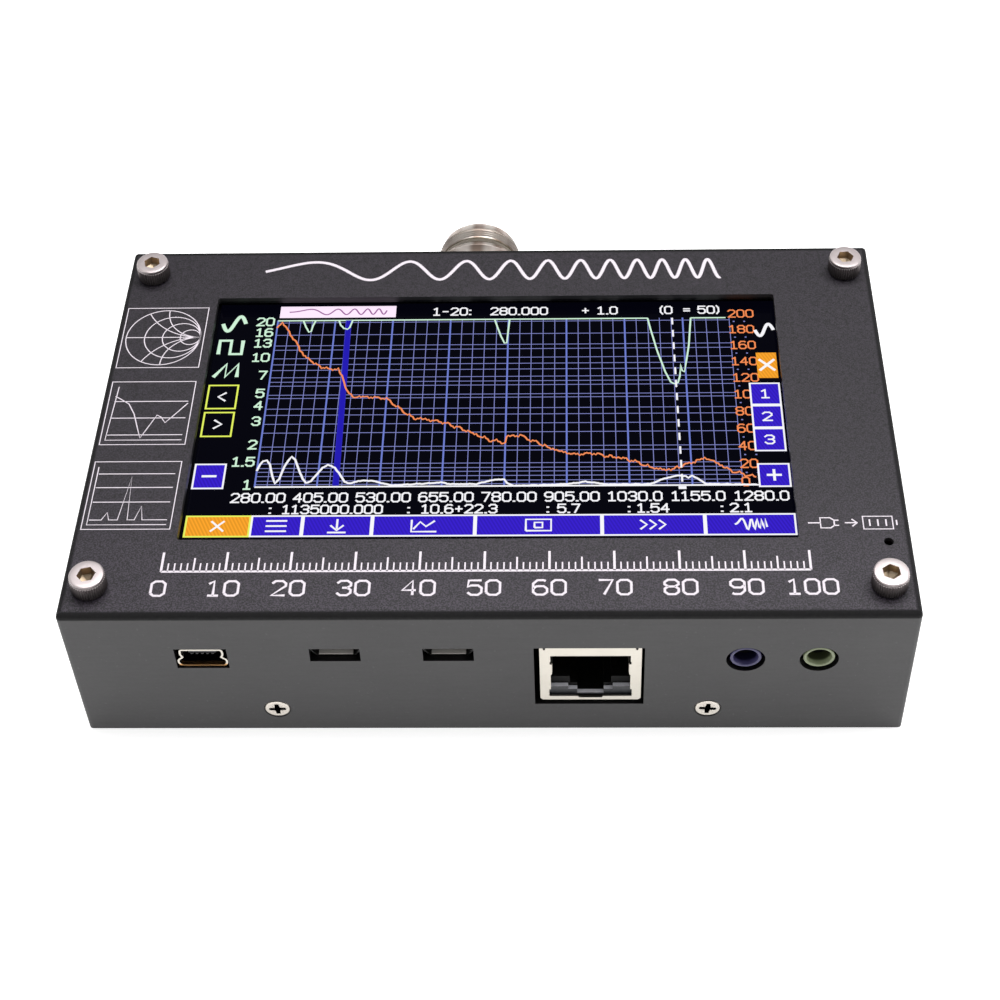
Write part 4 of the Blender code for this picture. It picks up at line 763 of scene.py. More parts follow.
def charge_sign():
    """A plug, an arrow and a battery beside the charge light."""
    centre_x, centre_y = 55.6 * MM, -22.4 * MM
    closed = [
        [(-4.9, -1.0), (-3.4, -1.0), (-2.8, -0.5), (-2.8, 0.5), (-3.4, 1.0), (-4.9, 1.0)],
        [(1.6, -1.25), (6.1, -1.25), (6.1, 1.25), (1.6, 1.25)],
    ]
    opened = [
        [(-6.8, 0), (-4.9, 0)], [(-2.8, 0.5), (-2.1, 0.5)], [(-2.8, -0.5), (-2.1, -0.5)],
        [(-1.2, 0), (0.6, 0)], [(-0.1, 0.7), (0.7, 0), (-0.1, -0.7)], [(6.7, -0.5), (6.7, 0.5)],
        [(2.6, -0.65), (2.6, 0.65)], [(3.85, -0.65), (3.85, 0.65)], [(5.1, -0.65), (5.1, 0.65)],
    ]
    meshes = []
    for lines, cyclic in ((closed, True), (opened, False)):
        for line in lines:
            spots = [(centre_x + u * MM, centre_y + v * MM) for u, v in line]
            meshes.append(printed(spots, 1.6, cyclic))
    return meshes


def make_panel_print():
    meshes = panel_drawings() + sweep_line() + tick_scale() + charge_sign()
    add_piece("panel_print", plain_mesh(gather(meshes), "panel_print"), INK)


# Lit picture


class Picture:
    """Collects the picture's shapes by colour and layer, in display dots."""

    def __init__(self):
        self.shapes = {}
        self.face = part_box("touch_panel")[1].z

    def spot(self, column, row):
        x = PICTURE_X + (column - PICTURE_COLUMNS / 2) * DOT
        y = PICTURE_Y + (PICTURE_ROWS / 2 - row) * DOT
        return x, y

    def level(self, layer):
        return self.face + (0.4 + layer) * PICTURE_LAYER

    def shape(self, colour):
        if colour not in self.shapes:
            self.shapes[colour] = bmesh.new()
        return self.shapes[colour]

    def patch(self, colour, left, top, right, bottom, layer=1):
        x0, y0 = self.spot(left, bottom)
        x1, y1 = self.spot(right, top)
        middle = ((x0 + x1) / 2, (y0 + y1) / 2, self.level(layer))
        size = Matrix.Diagonal((x1 - x0, y1 - y0, PICTURE_LAYER / 2, 1))
        bmesh.ops.create_cube(self.shape(colour), size=1, matrix=Matrix.Translation(middle) @ size)

    def rule(self, colour, start, end, dots, layer=1):
        first, last = self.spot(*start), self.spot(*end)
        flat_bar(self.shape(colour), first, last, dots * DOT, self.level(layer), PICTURE_LAYER / 2)

    def trace(self, colour, points, dots, layer=1):
        spots = [self.spot(*point) for point in points]
        mesh = ribbon(spots, dots * DOT, self.level(layer), PICTURE_LAYER)
        self.shape(colour).from_mesh(mesh)
        bpy.data.meshes.remove(mesh)

    def figures(
        self, colour, text, column, row, dots=9, stretch=1.1, align="CENTER", layer=2, weight=1.45,
    ):
        """A number drawn in strokes with square ends."""
        shape, level = self.shape(colour), self.level(layer)
        for line in figure_lines(text, dots * DOT, stretch, self.spot(column, row), align):
            for start, end in zip(line, line[1:]):
                run = (Vector(end) - Vector(start)).normalized() * weight * DOT * 0.4
                first, last = Vector(start) - run, Vector(end) + run
                flat_bar(shape, first, last, weight * DOT, level, PICTURE_LAYER / 2)

    def key(self, colour, left, top, right, bottom, line="white", dots=1.5, layer=3):
        """A touch key: a filled box with a bright outline."""
        self.patch(colour, left, top, right, bottom, layer)
        edge = dots / 2
        for start, end in (
            ((left, top + edge), (right, top + edge)), ((left, bottom - edge), (right, bottom - edge)),
            ((left + edge, top), (left + edge, bottom)), ((right - edge, top), (right - edge, bottom)),
        ):
            self.rule(line, start, end, dots, layer + 1)

    def finish(self):
        for colour, shape in self.shapes.items():
            mesh = plain_mesh(shape, f"picture_{colour}")
            add_piece(f"picture_{colour}", mesh, PICTURE[colour])


# Pitch and start of the waves that make the wobble of a trace
WOBBLES = ((1.9, 1), (3.7, 2.3), (0.61, 1))


def jitter(points, amount, seed):
    """Points between the given ones with a small steady wobble, as measured traces have."""
    wobbled = []
    for (x0, y0), (x1, y1) in zip(points, points[1:]):
        count = max(1, round(abs(x1 - x0) / 1.4))
        for step in range(count):
            along = step / count
            x = x0 + (x1 - x0) * along
            shake = sum(math.sin(x * pitch + seed * start) for pitch, start in WOBBLES)
            wobbled.append((x, y0 + (y1 - y0) * along + amount * shake / 3))
    return wobbled + [points[-1]]


GRID_TOP, GRID_BOTTOM, GRID_LEFT, GRID_RIGHT, GRID_END = 21.5, 208, 51, 441, 462
GRID_ROWS = (
    21.5, 36.5, 49.4, 54.6, 64.8, 71.9, 78.6, 87.1, 92.3, 96.9, 107.3, 111.1, 123.1, 130.1, 140.1,
    149.9, 165.2, 169.8, 183.5, 188.3, 192.3, 196.9, 201.8, 205.5,
)
KEY_TOP, KEY_BOTTOM = 237.5, 259.5
LEVEL_LABELS = ("20", "16", "13", "10", "7", "5", "4", "3", "2", "1.5", "1")
LABEL_ROWS = (20, 33, 46, 63, 84, 105, 119, 136.5, 162.5, 181, 205.5)


def draw_grid(picture):
    for column in range(GRID_LEFT, GRID_RIGHT + 1, 10):
        major = (column - GRID_LEFT) % 50 == 0
        colour, dots = ("major", 1.4) if major else ("minor", 0.6)
        picture.rule(colour, (column, GRID_TOP - 3), (column, GRID_BOTTOM), dots)
    for row in GRID_ROWS:
        picture.rule("minor", (GRID_LEFT, row), (GRID_RIGHT, row), 0.64)
    picture.rule("white", (GRID_LEFT, GRID_BOTTOM), (GRID_END, GRID_BOTTOM), 1.5, 2)
    picture.rule("pale", (GRID_LEFT, GRID_TOP - 2.6), (371, GRID_TOP - 2.6), 1.4, 2)
    picture.rule("pale", (408, GRID_TOP - 2.6), (GRID_RIGHT - 3, GRID_TOP - 2.6), 1.4, 2)
    for text, row in zip(LEVEL_LABELS, LABEL_ROWS):
        picture.figures("pale", text, GRID_LEFT - 3.5, row, 9, 1.02, "RIGHT", 2, 1.6)
    for step in range(11):
        number, row = str(200 - 20 * step), 14 + step * 19.05
        picture.figures("orange", number, GRID_RIGHT - 0.4, row, 8.6, 1.0, "LEFT", 2, 1.3)
        if step:
            picture.rule("minor", (GRID_RIGHT + 3, row - 9.5), (GRID_RIGHT + 4.5, row - 9.5), 1.2)
            picture.rule("minor", (GRID_RIGHT + 12, row - 9.5), (GRID_RIGHT + 13.5, row - 9.5), 1.2)
    for step in range(9):
        figure = 280 + 125 * step
        text = f"{figure:.2f}" if figure < 1000 else f"{figure:.1f}"
        picture.figures("white", text, 55 + step * 50.0, 219.3, 9, 1.03)


def draw_traces(picture):
    """Measured curves: one falling, one low with humps, and dips from the top line."""
    falling = [
        (51, 27), (55, 21), (62, 33), (72, 51), (77, 61), (91, 74), (99, 77), (108, 78), (113, 89),
        (118, 105), (124, 110), (135, 110), (151, 112), (161, 122), (174, 134), (186, 136), (199, 139),
        (216, 147), (238, 159), (251, 162), (252, 155), (263, 154), (269, 158), (279, 163), (287, 168),
        (297, 172), (307, 175), (323, 174), (333, 177), (345, 179), (353, 182), (362, 186), (370, 190),
        (379, 192), (387, 191), (395, 187), (404, 183), (412, 180), (418, 182), (424, 187), (432, 193),
        (442, 197), (452, 200),
    ]
    picture.trace("orange", jitter(falling, 2.3, 0.4), 1.5, 5)
    humps = [
        (51, 191), (53, 184), (55, 181), (58, 180), (61, 184), (64, 196), (67, 205), (70, 200), (73, 186),
        (76, 179), (78, 176), (81, 179), (85, 190), (89, 200), (92, 204), (96, 202), (100, 195), (104, 188),
        (108, 185), (114, 188), (119, 196), (123, 203), (128, 205), (134, 202), (145, 202), (151, 204),
        (161, 207), (192, 205), (200, 204), (208, 206), (229, 206), (241, 202), (251, 201), (253, 205),
        (259, 208), (292, 207), (305, 206), (316, 204), (333, 207), (367, 207), (373, 204), (382, 200),
        (391, 198), (396, 199), (398, 201), (401, 198), (406, 202), (412, 207), (452, 208),
    ]
    picture.trace("white", jitter(humps, 0.5, 1.1), 1.8, 5)
    dips = [
        [(73, 19), (76, 27), (79, 33), (81, 32), (82, 25), (84, 19)],
        [(104, 19), (106, 25), (109, 29), (112, 30), (114, 28), (116, 19)],
        [(239, 19), (242, 30), (245, 40), (248, 48), (250, 48), (251, 33), (252, 19)],
        [(371, 19), (373, 32), (375, 43), (378, 59), (381, 71), (384, 84), (388, 95), (391, 97), (394, 96),
         (396, 88), (397, 74), (398, 82), (400, 83), (402, 71), (405, 52), (408, 19)],
    ]
    for dip in dips:
        picture.trace("pale", jitter(dip, 0.4, 2.0), 1.5, 5)
    for part in range(13):
        start = 19 + part * 14.8
        picture.rule("white", (392 + part * 0.08, start), (392 + part * 0.08, start + 8.0), 1.6, 6)
    picture.rule("white", (389.8, 210.8), (396, 210.8), 3, 6)
    picture.trace("band", [(112.5, 19), (116, 207)], 5.2, 4)


def draw_signs(picture):
    """Pictograms where the device shows words: plain bars, arrows and waves."""
    signs = {
        "cross": [[(-1, -1), (1, 1)], [(-1, 1), (1, -1)]],
        "list": [[(-1.6, 1), (1.6, 1)], [(-1.6, 0), (1.6, 0)], [(-1.6, -1), (1.6, -1)]],
        "down": [[(0, 1.3), (0, -0.6)], [(-1, 0.1), (0, -0.9), (1, 0.1)], [(-1.4, -1.3), (1.4, -1.3)]],
        "graph": [[(-1.8, 1.1), (-1.8, -1.2), (2, -1.2)],
                  [(-1.5, -0.7), (-0.5, 0.7), (0.4, -0.2), (1.7, 0.9)]],
        "frame": [[(-1.9, -1.1), (1.9, -1.1), (1.9, 1.1), (-1.9, 1.1), (-1.9, -1.1)],
                  [(-0.6, -0.5), (0.6, -0.5), (0.6, 0.5), (-0.6, 0.5), (-0.6, -0.5)]],
        "repeat": [[(-2, 0.9), (-1, 0), (-2, -0.9)], [(-0.6, 0.9), (0.4, 0), (-0.6, -0.9)],
                   [(0.8, 0.9), (1.8, 0), (0.8, -0.9)]],
        "sweep": [[(-2.4, 0)] + [(-2.4 + 0.2 * k, 1.1 * math.sin(0.05 * k * k)) for k in range(1, 25)]],
        "left": [[(0.55, 0.8), (-0.55, 0), (0.55, -0.8)]],
        "right": [[(-0.55, 0.8), (0.55, 0), (-0.55, -0.8)]],
        "wave": [[(-1.1 + 0.11 * k, math.sin(math.pi * (-1 + 0.1 * k))) for k in range(21)]],
        "steps": [[(-1.1, -0.9), (-1.1, 0.9), (0, 0.9), (0, -0.9), (1.1, -0.9), (1.1, 0.9)]],
        "teeth": [[(-1.2, -0.8), (-0.1, 0.9), (-0.1, -0.8), (1.0, 0.9), (1.0, -0.8)]],
    }

    def sign(name, column, row, size, dots=1.6, colour="white", layer=6):
        for line in signs[name]:
            picture.trace(colour, [(column + u * size, row - v * size) for u, v in line], dots, layer)

    keys = (0, 52, 93, 148, 229, 328.5, 409, 480)
    names = ("cross", "list", "down", "graph", "frame", "repeat", "sweep")
    for left, right, name in zip(keys, keys[1:], names):
        fill, line = ("key_orange", "yellow") if name == "cross" else ("key_blue", "white")
        picture.key(fill, left, KEY_TOP, right, KEY_BOTTOM, line)
        sign(name, (left + right) / 2, (KEY_TOP + KEY_BOTTOM) / 2, 5.2, 1.7)
    for row, name in ((109, "left"), (140, "right")):
        picture.key("ground", 0, row - 14, 26, row + 14, "yellow")
        sign(name, 13, row, 6, 1.8)
    picture.key("key_blue", 0, 183, 26, 210)
    picture.rule("white", (7, 196.5), (19, 196.5), 2.2, 6)
    picture.key("key_blue", 453.5, 185.5, 479.5, 210.5)
    picture.rule("white", (460.5, 198), (472.5, 198), 2.2, 6)
    picture.rule("white", (466.5, 192), (466.5, 204), 2.2, 6)
    for number in range(3):
        top = 96.5 + number * 25.4
        picture.key("key_blue", 452.8, top, 478.5, top + 25.4)
        picture.figures("white", str(number + 1), 465.6, top + 12.8, 9, 1.2, "CENTER", 6)
    picture.patch("key_orange", 461, 61.5, 478, 91, 3)
    sign("cross", 469.5, 76, 6.5, 2.4)
    sign("wave", 470, 34.5, 7.2, 3.0)
    for row, name in ((22.5, "wave"), (51, "steps"), (79, "teeth")):
        sign(name, 13.5, row, 9, 3.4, "pale")


def draw_header(picture):
    """Plain figures where the device shows its settings and readings, and a label with a wave."""
    picture.patch("label", 52, 1.5, 153, 15.5, 3)
    wave = [(60 + 0.5 * step, 8.5 - 3.4 * math.sin(0.0011 * step * step)) for step in range(171)]
    picture.trace("purple", wave, 1.3, 5)
    settings = (
        ("1-20:", 202), ("280.000", 260), ("+", 317.5), ("1.0", 336.5),
        ("(0", 387), ("=", 405), ("50)", 424),
    )
    for text, column in settings:
        picture.figures("white", text, column, 9, 8.6, 1.03)
    readings = (
        ("1135000.000", 115.5), ("10.6+22.3", 216), ("5.7", 302.5), ("1.54", 369), ("2.1", 438),
        (":", 66), (":", 176), (":", 286), (":", 350), (":", 423),
    )
    for text, column in readings:
        picture.figures("white", text, column, 231.5, 8.4, 1.05)


def make_picture():
    picture = Picture()
    picture.patch("ground", -0.5, -1.5, PICTURE_COLUMNS + 0.5, KEY_BOTTOM + 2, 0)
    draw_grid(picture)
    draw_traces(picture)
    draw_signs(picture)
    draw_header(picture)
    picture.finish()


# Fasteners


TO_FRONT = Matrix.Rotation(math.radians(90), 4, "X")
TO_BACK = Matrix.Rotation(math.radians(-90), 4, "X")
KNURL_TEETH = 44
KNURL_DEPTH = 0.06


def ring_step(shape, ring, factor, lift):
    """Extrudes a ring of edges along Z, widens or narrows it, and gives the new ring."""
    grown = bmesh.ops.extrude_edge_only(shape, edges=ring)["geom"]
    points = [item for item in grown if isinstance(item, bmesh.types.BMVert)]
    bmesh.ops.scale(shape, vec=(factor, factor, 1), verts=points)
    bmesh.ops.translate(shape, verts=points, vec=(0, 0, lift))
    return [item for item in grown if isinstance(item, bmesh.types.BMEdge)]


def recess_cup(points, cuts, level, steps):
    """A blind recess: an outline drawn down in steps of narrowing and depth, then closed."""
    shape = loop_shape(points, cuts)
    bmesh.ops.translate(shape, verts=shape.verts, vec=(0, 0, level))
    ring = shape.edges[:]
    for narrowing, depth in steps:
        ring = ring_step(shape, ring, narrowing, -depth)
    bmesh.ops.holes_fill(shape, edges=ring)
    return shape


def open_recess(shape, radius, points, cuts, level):
    """Joins the round opening in a lathed face to an outline at the same level."""
    open_edges = [edge for edge in shape.edges if edge.is_boundary]
    rim = [edge for edge in open_edges if all(point.co.xy.length < radius * 1.01 for point in edge.verts)]
    outline = loop_shape(points, cuts)
    bmesh.ops.translate(outline, verts=outline.verts, vec=(0, 0, level))
    bmesh.ops.bridge_loops(shape, edges=rim + put_in(shape, outline))


def hexagon(width):
    corner = width / 2 / math.cos(math.pi / 6)
    return [(corner * math.cos(k * math.pi / 3), corner * math.sin(k * math.pi / 3)) for k in range(6)]


def cap_screw_head(radius, height):
    """A socket head with its seat at 0: knurled below, with a smooth band and a rounded rim."""
    band, foot, inner = 0.55 * MM, 0.15 * MM, 1.62 * MM
    smooth = radius * 0.965
    corner = 0.24 * MM
    profile = [
        (0, 0), (radius * 0.9, 0), (radius * 0.975, foot / 2), (radius, foot),
        (radius, height - band - foot / 2), (smooth * 0.985, height - band),
        (smooth, height - band + 0.05 * MM), (smooth, height - corner),
    ]
    for step in (1, 2, 3, 4):
        turn = math.radians(22.5 * step)
        profile.append((smooth - corner * (1 - math.cos(turn)), height - corner * (1 - math.sin(turn))))
    profile.append((inner, height))
    shape = lathe(profile, KNURL_TEETH * 2)
    for point in shape.verts:
        if abs(point.co.xy.length - radius) < 0.01 * MM:
            turn = round(math.atan2(point.co.y, point.co.x) / (math.pi / KNURL_TEETH))
            factor = 1 - KNURL_DEPTH * (turn % 2)
            bmesh.ops.scale(shape, vec=(factor, factor, 1), verts=[point])
    open_recess(shape, inner, hexagon(2.5 * MM), 11, height)
    return shape


def make_cap_screws():
    for row in ("front", "rear"):
        for side in ("left", "right"):
            node = f"cover_screw_{row}_{side}"
            low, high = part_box(node)
            seat = CASE_TOP + 0.3 * MM
            height = high.z - seat
            shape = cap_screw_head((high.x - low.x) / 2, height)
            end = low.z - seat
            shank = [(0, 0), (1.5 * MM, 0), (1.5 * MM, end + 0.3 * MM), (1.2 * MM, end), (0, end)]
            put_in(shape, lathe(shank, 24))
            cup = recess_cup(hexagon(2.5 * MM), 3, height, ((1, 1.5 * MM), (0.3, 0.45 * MM)))
            turn = math.radians(13 + 31 * (row == "rear") + 22 * (side == "right"))
            place = Matrix.Translation(((low.x + high.x) / 2, (low.y + high.y) / 2, seat))
            for part in (shape, cup):
                move(part, place @ Matrix.Rotation(turn, 4, "Z"))
            add_shape(f"cap_screw_{row}_{side}", shape, "cap_steel", node, 25)
            add_shape(f"cap_screw_socket_{row}_{side}", cup, "cap_socket", None, 25)


def cross_corners(reach, half):
    """Corners of a cross-shaped recess."""
    quarter = [(reach, -half), (reach, half), (half, half)]
    return [
        (x * math.cos(turn) - y * math.sin(turn), x * math.sin(turn) + y * math.cos(turn))
        for turn in (0, math.pi / 2, math.pi, 3 * math.pi / 2) for x, y in quarter
    ]


def make_countersunk_screws():
    """Flat heads with a tapered cross recess; they stand a little deep in their holes."""
    for row, turn in (("front", TO_FRONT), ("rear", TO_BACK)):
        for side in ("left", "right"):
            node = f"base_screw_{row}_{side}"
            low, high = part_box(node)
            radius = (high.x - low.x) / 2 + 0.06 * MM
            length = high.y - low.y
            inner = 1.42 * MM
            profile = [
                (inner, 0), (radius * 0.90, 0), (radius * 0.96, -0.05 * MM), (radius, -0.16 * MM),
                (radius, -0.26 * MM), (1.25 * MM, -0.95 * MM), (1.25 * MM, 0.2 * MM - length),
                (1.0 * MM, -length), (0, -length),
            ]
            cross = cross_corners(1.26 * MM, 0.33 * MM)
            shape = lathe(profile, 36)
            open_recess(shape, inner, cross, 2, 0)
            cup = recess_cup(cross, 1, 0, ((0.8, 0.5 * MM), (0.4, 0.45 * MM)))
            head_y = low.y if row == "front" else high.y
            face = Vector(((low.x + high.x) / 2, head_y, (low.z + high.z) / 2))
            spin = Matrix.Rotation(math.radians(2 if side == "left" else -6), 4, "Z")
            for part in (shape, cup):
                move(part, Matrix.Translation(face) @ turn @ spin)
            add_shape(f"cross_screw_{row}_{side}", shape, "screw_nickel", node, 25)
            add_shape(f"cross_screw_recess_{row}_{side}", cup, "screw_recess", None, 25)


# Front sockets


def stand_up(shape, centre):
    """Turns a shape drawn in X and Y so that it stands in X and Z, looking to the front."""
    move(shape, Matrix.Translation(centre) @ TO_FRONT)


def shell_from(points, corner, depth, thickness):
    """A sheet shell: an outline with rounded corners, run back by depth, with an inside wall."""
    shape = loop_shape(points)
    round_off(shape, shape.verts[:], corner, 3, "VERTICES")
    ring_step(shape, shape.edges[:], 1, -depth)
    bmesh.ops.recalc_face_normals(shape, faces=shape.faces)
    bmesh.ops.solidify(shape, geom=shape.faces[:], thickness=thickness)
    return shape


def make_mini_usb():
    """Shell pinched at the waist, a dark tongue with five contact slots, and a coppery inner floor."""
    low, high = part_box("mini_usb_shell")
    centre = Vector(((low.x + high.x) / 2, low.y, (low.z + high.z) / 2))
    depth = high.y - low.y
    right = [(3.05, 1.62), (3.1, 0.6), (2.74, -0.05), (3.56, -0.8), (3.56, -1.45), (3.2, -1.98)]
    outline = mirrored([(x * MM, z * MM) for x, z in right])
    shape = shell_from(outline, 0.22 * MM, depth, -0.3 * MM)
    stand_up(shape, centre)
    back = centre + Vector((0, depth - 0.4 * MM, 0))
    back_low, back_high = Vector((-2.6, 0, -1.6)), Vector((2.6, 0.3, 1.6))
    add_block(shape, back + back_low * MM, back + back_high * MM)
    add_shape("mini_usb_shell_detail", shape, "mini_usb_metal", "mini_usb_shell")

    tongue = bmesh.new()
    plate_low, plate_high = Vector((-2.15, 0.75, 0.2)), Vector((2.15, 7.6, 0.85))
    add_block(tongue, plate_low * MM, plate_high * MM)
    add_block(tongue, Vector((-2.5, 5.6, -1.5)) * MM, Vector((2.5, 7.6, 1.55)) * MM)
    for slot in range(5):
        x = (slot - 2) * 0.8
        add_block(tongue, Vector((x - 0.22, 0.62, -0.05)) * MM, Vector((x + 0.22, 6.5, 0.17)) * MM)
        add_block(tongue, Vector((x - 0.22, 0.62, 0.87)) * MM, Vector((x + 0.22, 6.5, 1.05)) * MM)
    bmesh.ops.translate(tongue, verts=tongue.verts, vec=centre)
    soften(tongue, 0.05 * MM, 1)
    add_shape("mini_usb_tongue_detail", tongue, "tongue_dark", "mini_usb_tongue")


def micro_usb_shape(depth):
    """A small trapezoid shell with its mouth at the origin, looking to the front."""
    right = [(3.7, 1.28), (3.72, 0.1), (2.75, -1.28)]
    outline = mirrored([(x * MM, z * MM) for x, z in right])
    shape = shell_from(outline, 0.3 * MM, depth, -0.25 * MM)
    stand_up(shape, Vector())
    add_block(shape, Vector((-3.2, 0, -0.9)) * MM + Vector((0, depth - 0.3 * MM, 0)),
              Vector((3.2, 0, 1.0)) * MM + Vector((0, depth, 0)))
    return shape


def make_micro_usb():
    for side in ("left", "right"):
        node = f"micro_usb_shell_{side}"
        low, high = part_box(node)
        mouth = Vector(((low.x + high.x) / 2, low.y - 0.42 * MM, (low.z + high.z) / 2 - 0.28 * MM))
        shape = micro_usb_shape(high.y - mouth.y)
        bmesh.ops.translate(shape, verts=shape.verts, vec=mouth)
        # Painted shade: the shell gets near-black metal
        add_shape(f"micro_usb_mouth_{side}", shape, "micro_usb_metal", node)
        # Painted light: a pale block on the shell's floor stands in for the light falling on its front part
        floor = bmesh.new()
        floor_low, floor_high = Vector((-2.62, 0.02, -1.2)), Vector((2.62, 4.6, -0.94))
        add_block(floor, mouth + floor_low * MM, mouth + floor_high * MM)
        soften(floor, 0.06 * MM)
        add_shape(f"micro_usb_floor_{side}", floor, "micro_usb_floor")
    low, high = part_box("charger_socket")
    shape = micro_usb_shape(high.x - low.x)
    place = Matrix.Translation((high.x, (low.y + high.y) / 2, (low.z + high.z) / 2))
    move(shape, place @ Matrix.Rotation(math.radians(90), 4, "Z"))
    tongue = bmesh.new()
    add_block(tongue, Vector((-4.2, -1.9, 0.0)) * MM, Vector((-0.9, 1.9, 0.55)) * MM)
    bmesh.ops.translate(tongue, verts=tongue.verts, vec=place.translation)
    put_in(shape, tongue)
    # Painted shade: the same near-black metal
    add_shape("charger_socket_mouth", shape, "micro_usb_metal", "charger_socket")


def sheet_with_hole(outer, inner, thickness):
    """A flat sheet in X and Y with one opening."""
    curve = bpy.data.curves.new("sheet", "CURVE")
    curve.dimensions = "2D"
    curve.fill_mode = "BOTH"
    curve.extrude = thickness / 2
    shape = gather([curve_mesh(curve, (outer, inner), True)])
    bmesh.ops.remove_doubles(shape, verts=shape.verts, dist=SAME_POINT)
    return shape


def make_network_socket():
    """The shield's face with notches, side springs and a latch gap, and the shell behind it."""
    low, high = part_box("network_socket_shield")
    centre_x = (low.x + high.x) / 2
    half, height = (high.x - low.x) / 2 / MM, (high.z - low.z) / MM
    notch, cut, sheet = 0.6, 0.4, 0.3 * MM
    outer = mirrored([
        (half - 0.95, height), (half - 0.85, height - notch), (half - 0.6, height - notch),
        (half - 0.5, height), (half, height), (half, cut), (half - cut, 0),
    ])
    inner = mirrored([
        (6.1, 11.4), (6.1, 9.9), (6.22, 9.85), (6.22, 9.3), (5.9, 9.15), (5.9, 6.7), (6.1, 6.4),
        (6.1, 2.75), (6.36, 2.7), (6.36, 0.92), (1.85, 0.92), (1.85, 0.55),
    ])
    points = [[(x * MM, z * MM) for x, z in line] for line in (outer, inner)]
    shape = sheet_with_hole(*points, sheet)
    stand_up(shape, Vector((centre_x, low.y + sheet / 2, low.z)))
    face = low.y + sheet
    shell = bmesh.new()
    add_block(shell, (low.x, face, low.z), high)
    front = [part for part in shell.faces if part.normal.y < -0.5]
    bmesh.ops.delete(shell, geom=front, context="FACES")
    side_edges = [edge for edge in shell.edges if not edge.is_boundary]
    round_off(shell, side_edges, cut * MM, 2)
    bmesh.ops.solidify(shell, geom=shell.faces[:], thickness=0.28 * MM)
    put_in(shape, shell)
    for sign in (-1, 1):
        x = centre_x + sign * 5.95 * MM
        foot = Vector((x - 0.1 * MM, face, low.z + 6.8 * MM))
        add_block(shape, foot, foot + Vector((0.2, 3.2, 2.3)) * MM)
    add_shape("network_socket_face", shape, "socket_shield", "network_socket_shield")


def make_audio_jacks():
    """Coloured barrels with a rounded lip and a contact spring deep in the bore."""
    for colour in ("blue", "green"):
        node = f"audio_jack_{colour}"
        low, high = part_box(node)
        centre_x = (low.x + high.x) / 2
        axis_z = 18.5 * MM
        outer, bore = 2.4 * MM, 1.75 * MM
        profile = [
            (outer * 0.98, -3.0 * MM), (outer, -0.22 * MM), (outer * 0.975, -0.07 * MM), (outer * 0.92, 0),
            (bore * 1.2, 0), (bore * 1.1, -0.1 * MM), (bore * 1.02, -0.4 * MM), (bore, -0.9 * MM),
            (bore, -10.5 * MM), (0, -10.5 * MM),
        ]
        shape = lathe(profile, 56)
        mouth = Vector((centre_x, FRONT_FACE + 0.12 * MM, axis_z))
        stand_up(shape, mouth)
        box = bmesh.new()
        body_front = FRONT_FACE + 1.5 * MM
        add_block(box, (low.x, body_front + 0.02 * MM, low.z), high)
        front = [part for part in box.faces if part.normal.y < -0.5]
        bmesh.ops.inset_region(box, faces=front, thickness=0.6 * MM)
        bmesh.ops.delete(box, geom=front, context="FACES")
        soften(box, 0.2 * MM)
        put_in(shape, box)
        slot = f"jack_{colour}"
        add_shape(f"audio_barrel_{colour}", shape, slot, node)
        spring = lathe([
            (bore * 0.99, -2.2 * MM), (bore * 0.8, -2.6 * MM), (bore * 0.8, -5 * MM),
            (bore * 0.98, -5.4 * MM),
        ], 32)
        stand_up(spring, mouth)
        add_shape(f"audio_contact_{colour}", spring, "dark_contact")


# Antenna jack


def thread_ridge(root, crest, pitch, low, high, steps=48):
    """A triangular ridge wound round Z from low to high."""
    turns = (high - low) / pitch
    shape = bmesh.new()
    points = [
        shape.verts.new((root, 0, low - pitch * 0.42)), shape.verts.new((crest, 0, low - pitch * 0.07)),
        shape.verts.new((crest, 0, low + pitch * 0.07)), shape.verts.new((root, 0, low + pitch * 0.42)),
    ]
    for first, second in zip(points, points[1:]):
        shape.edges.new((first, second))
    count = round(turns * steps)
    bmesh.ops.spin(
        shape, geom=shape.verts[:] + shape.edges[:], axis=(0, 0, 1), dvec=(0, 0, (high - low) / count),
        angle=2 * math.pi * turns, steps=count,
    )
    return shape


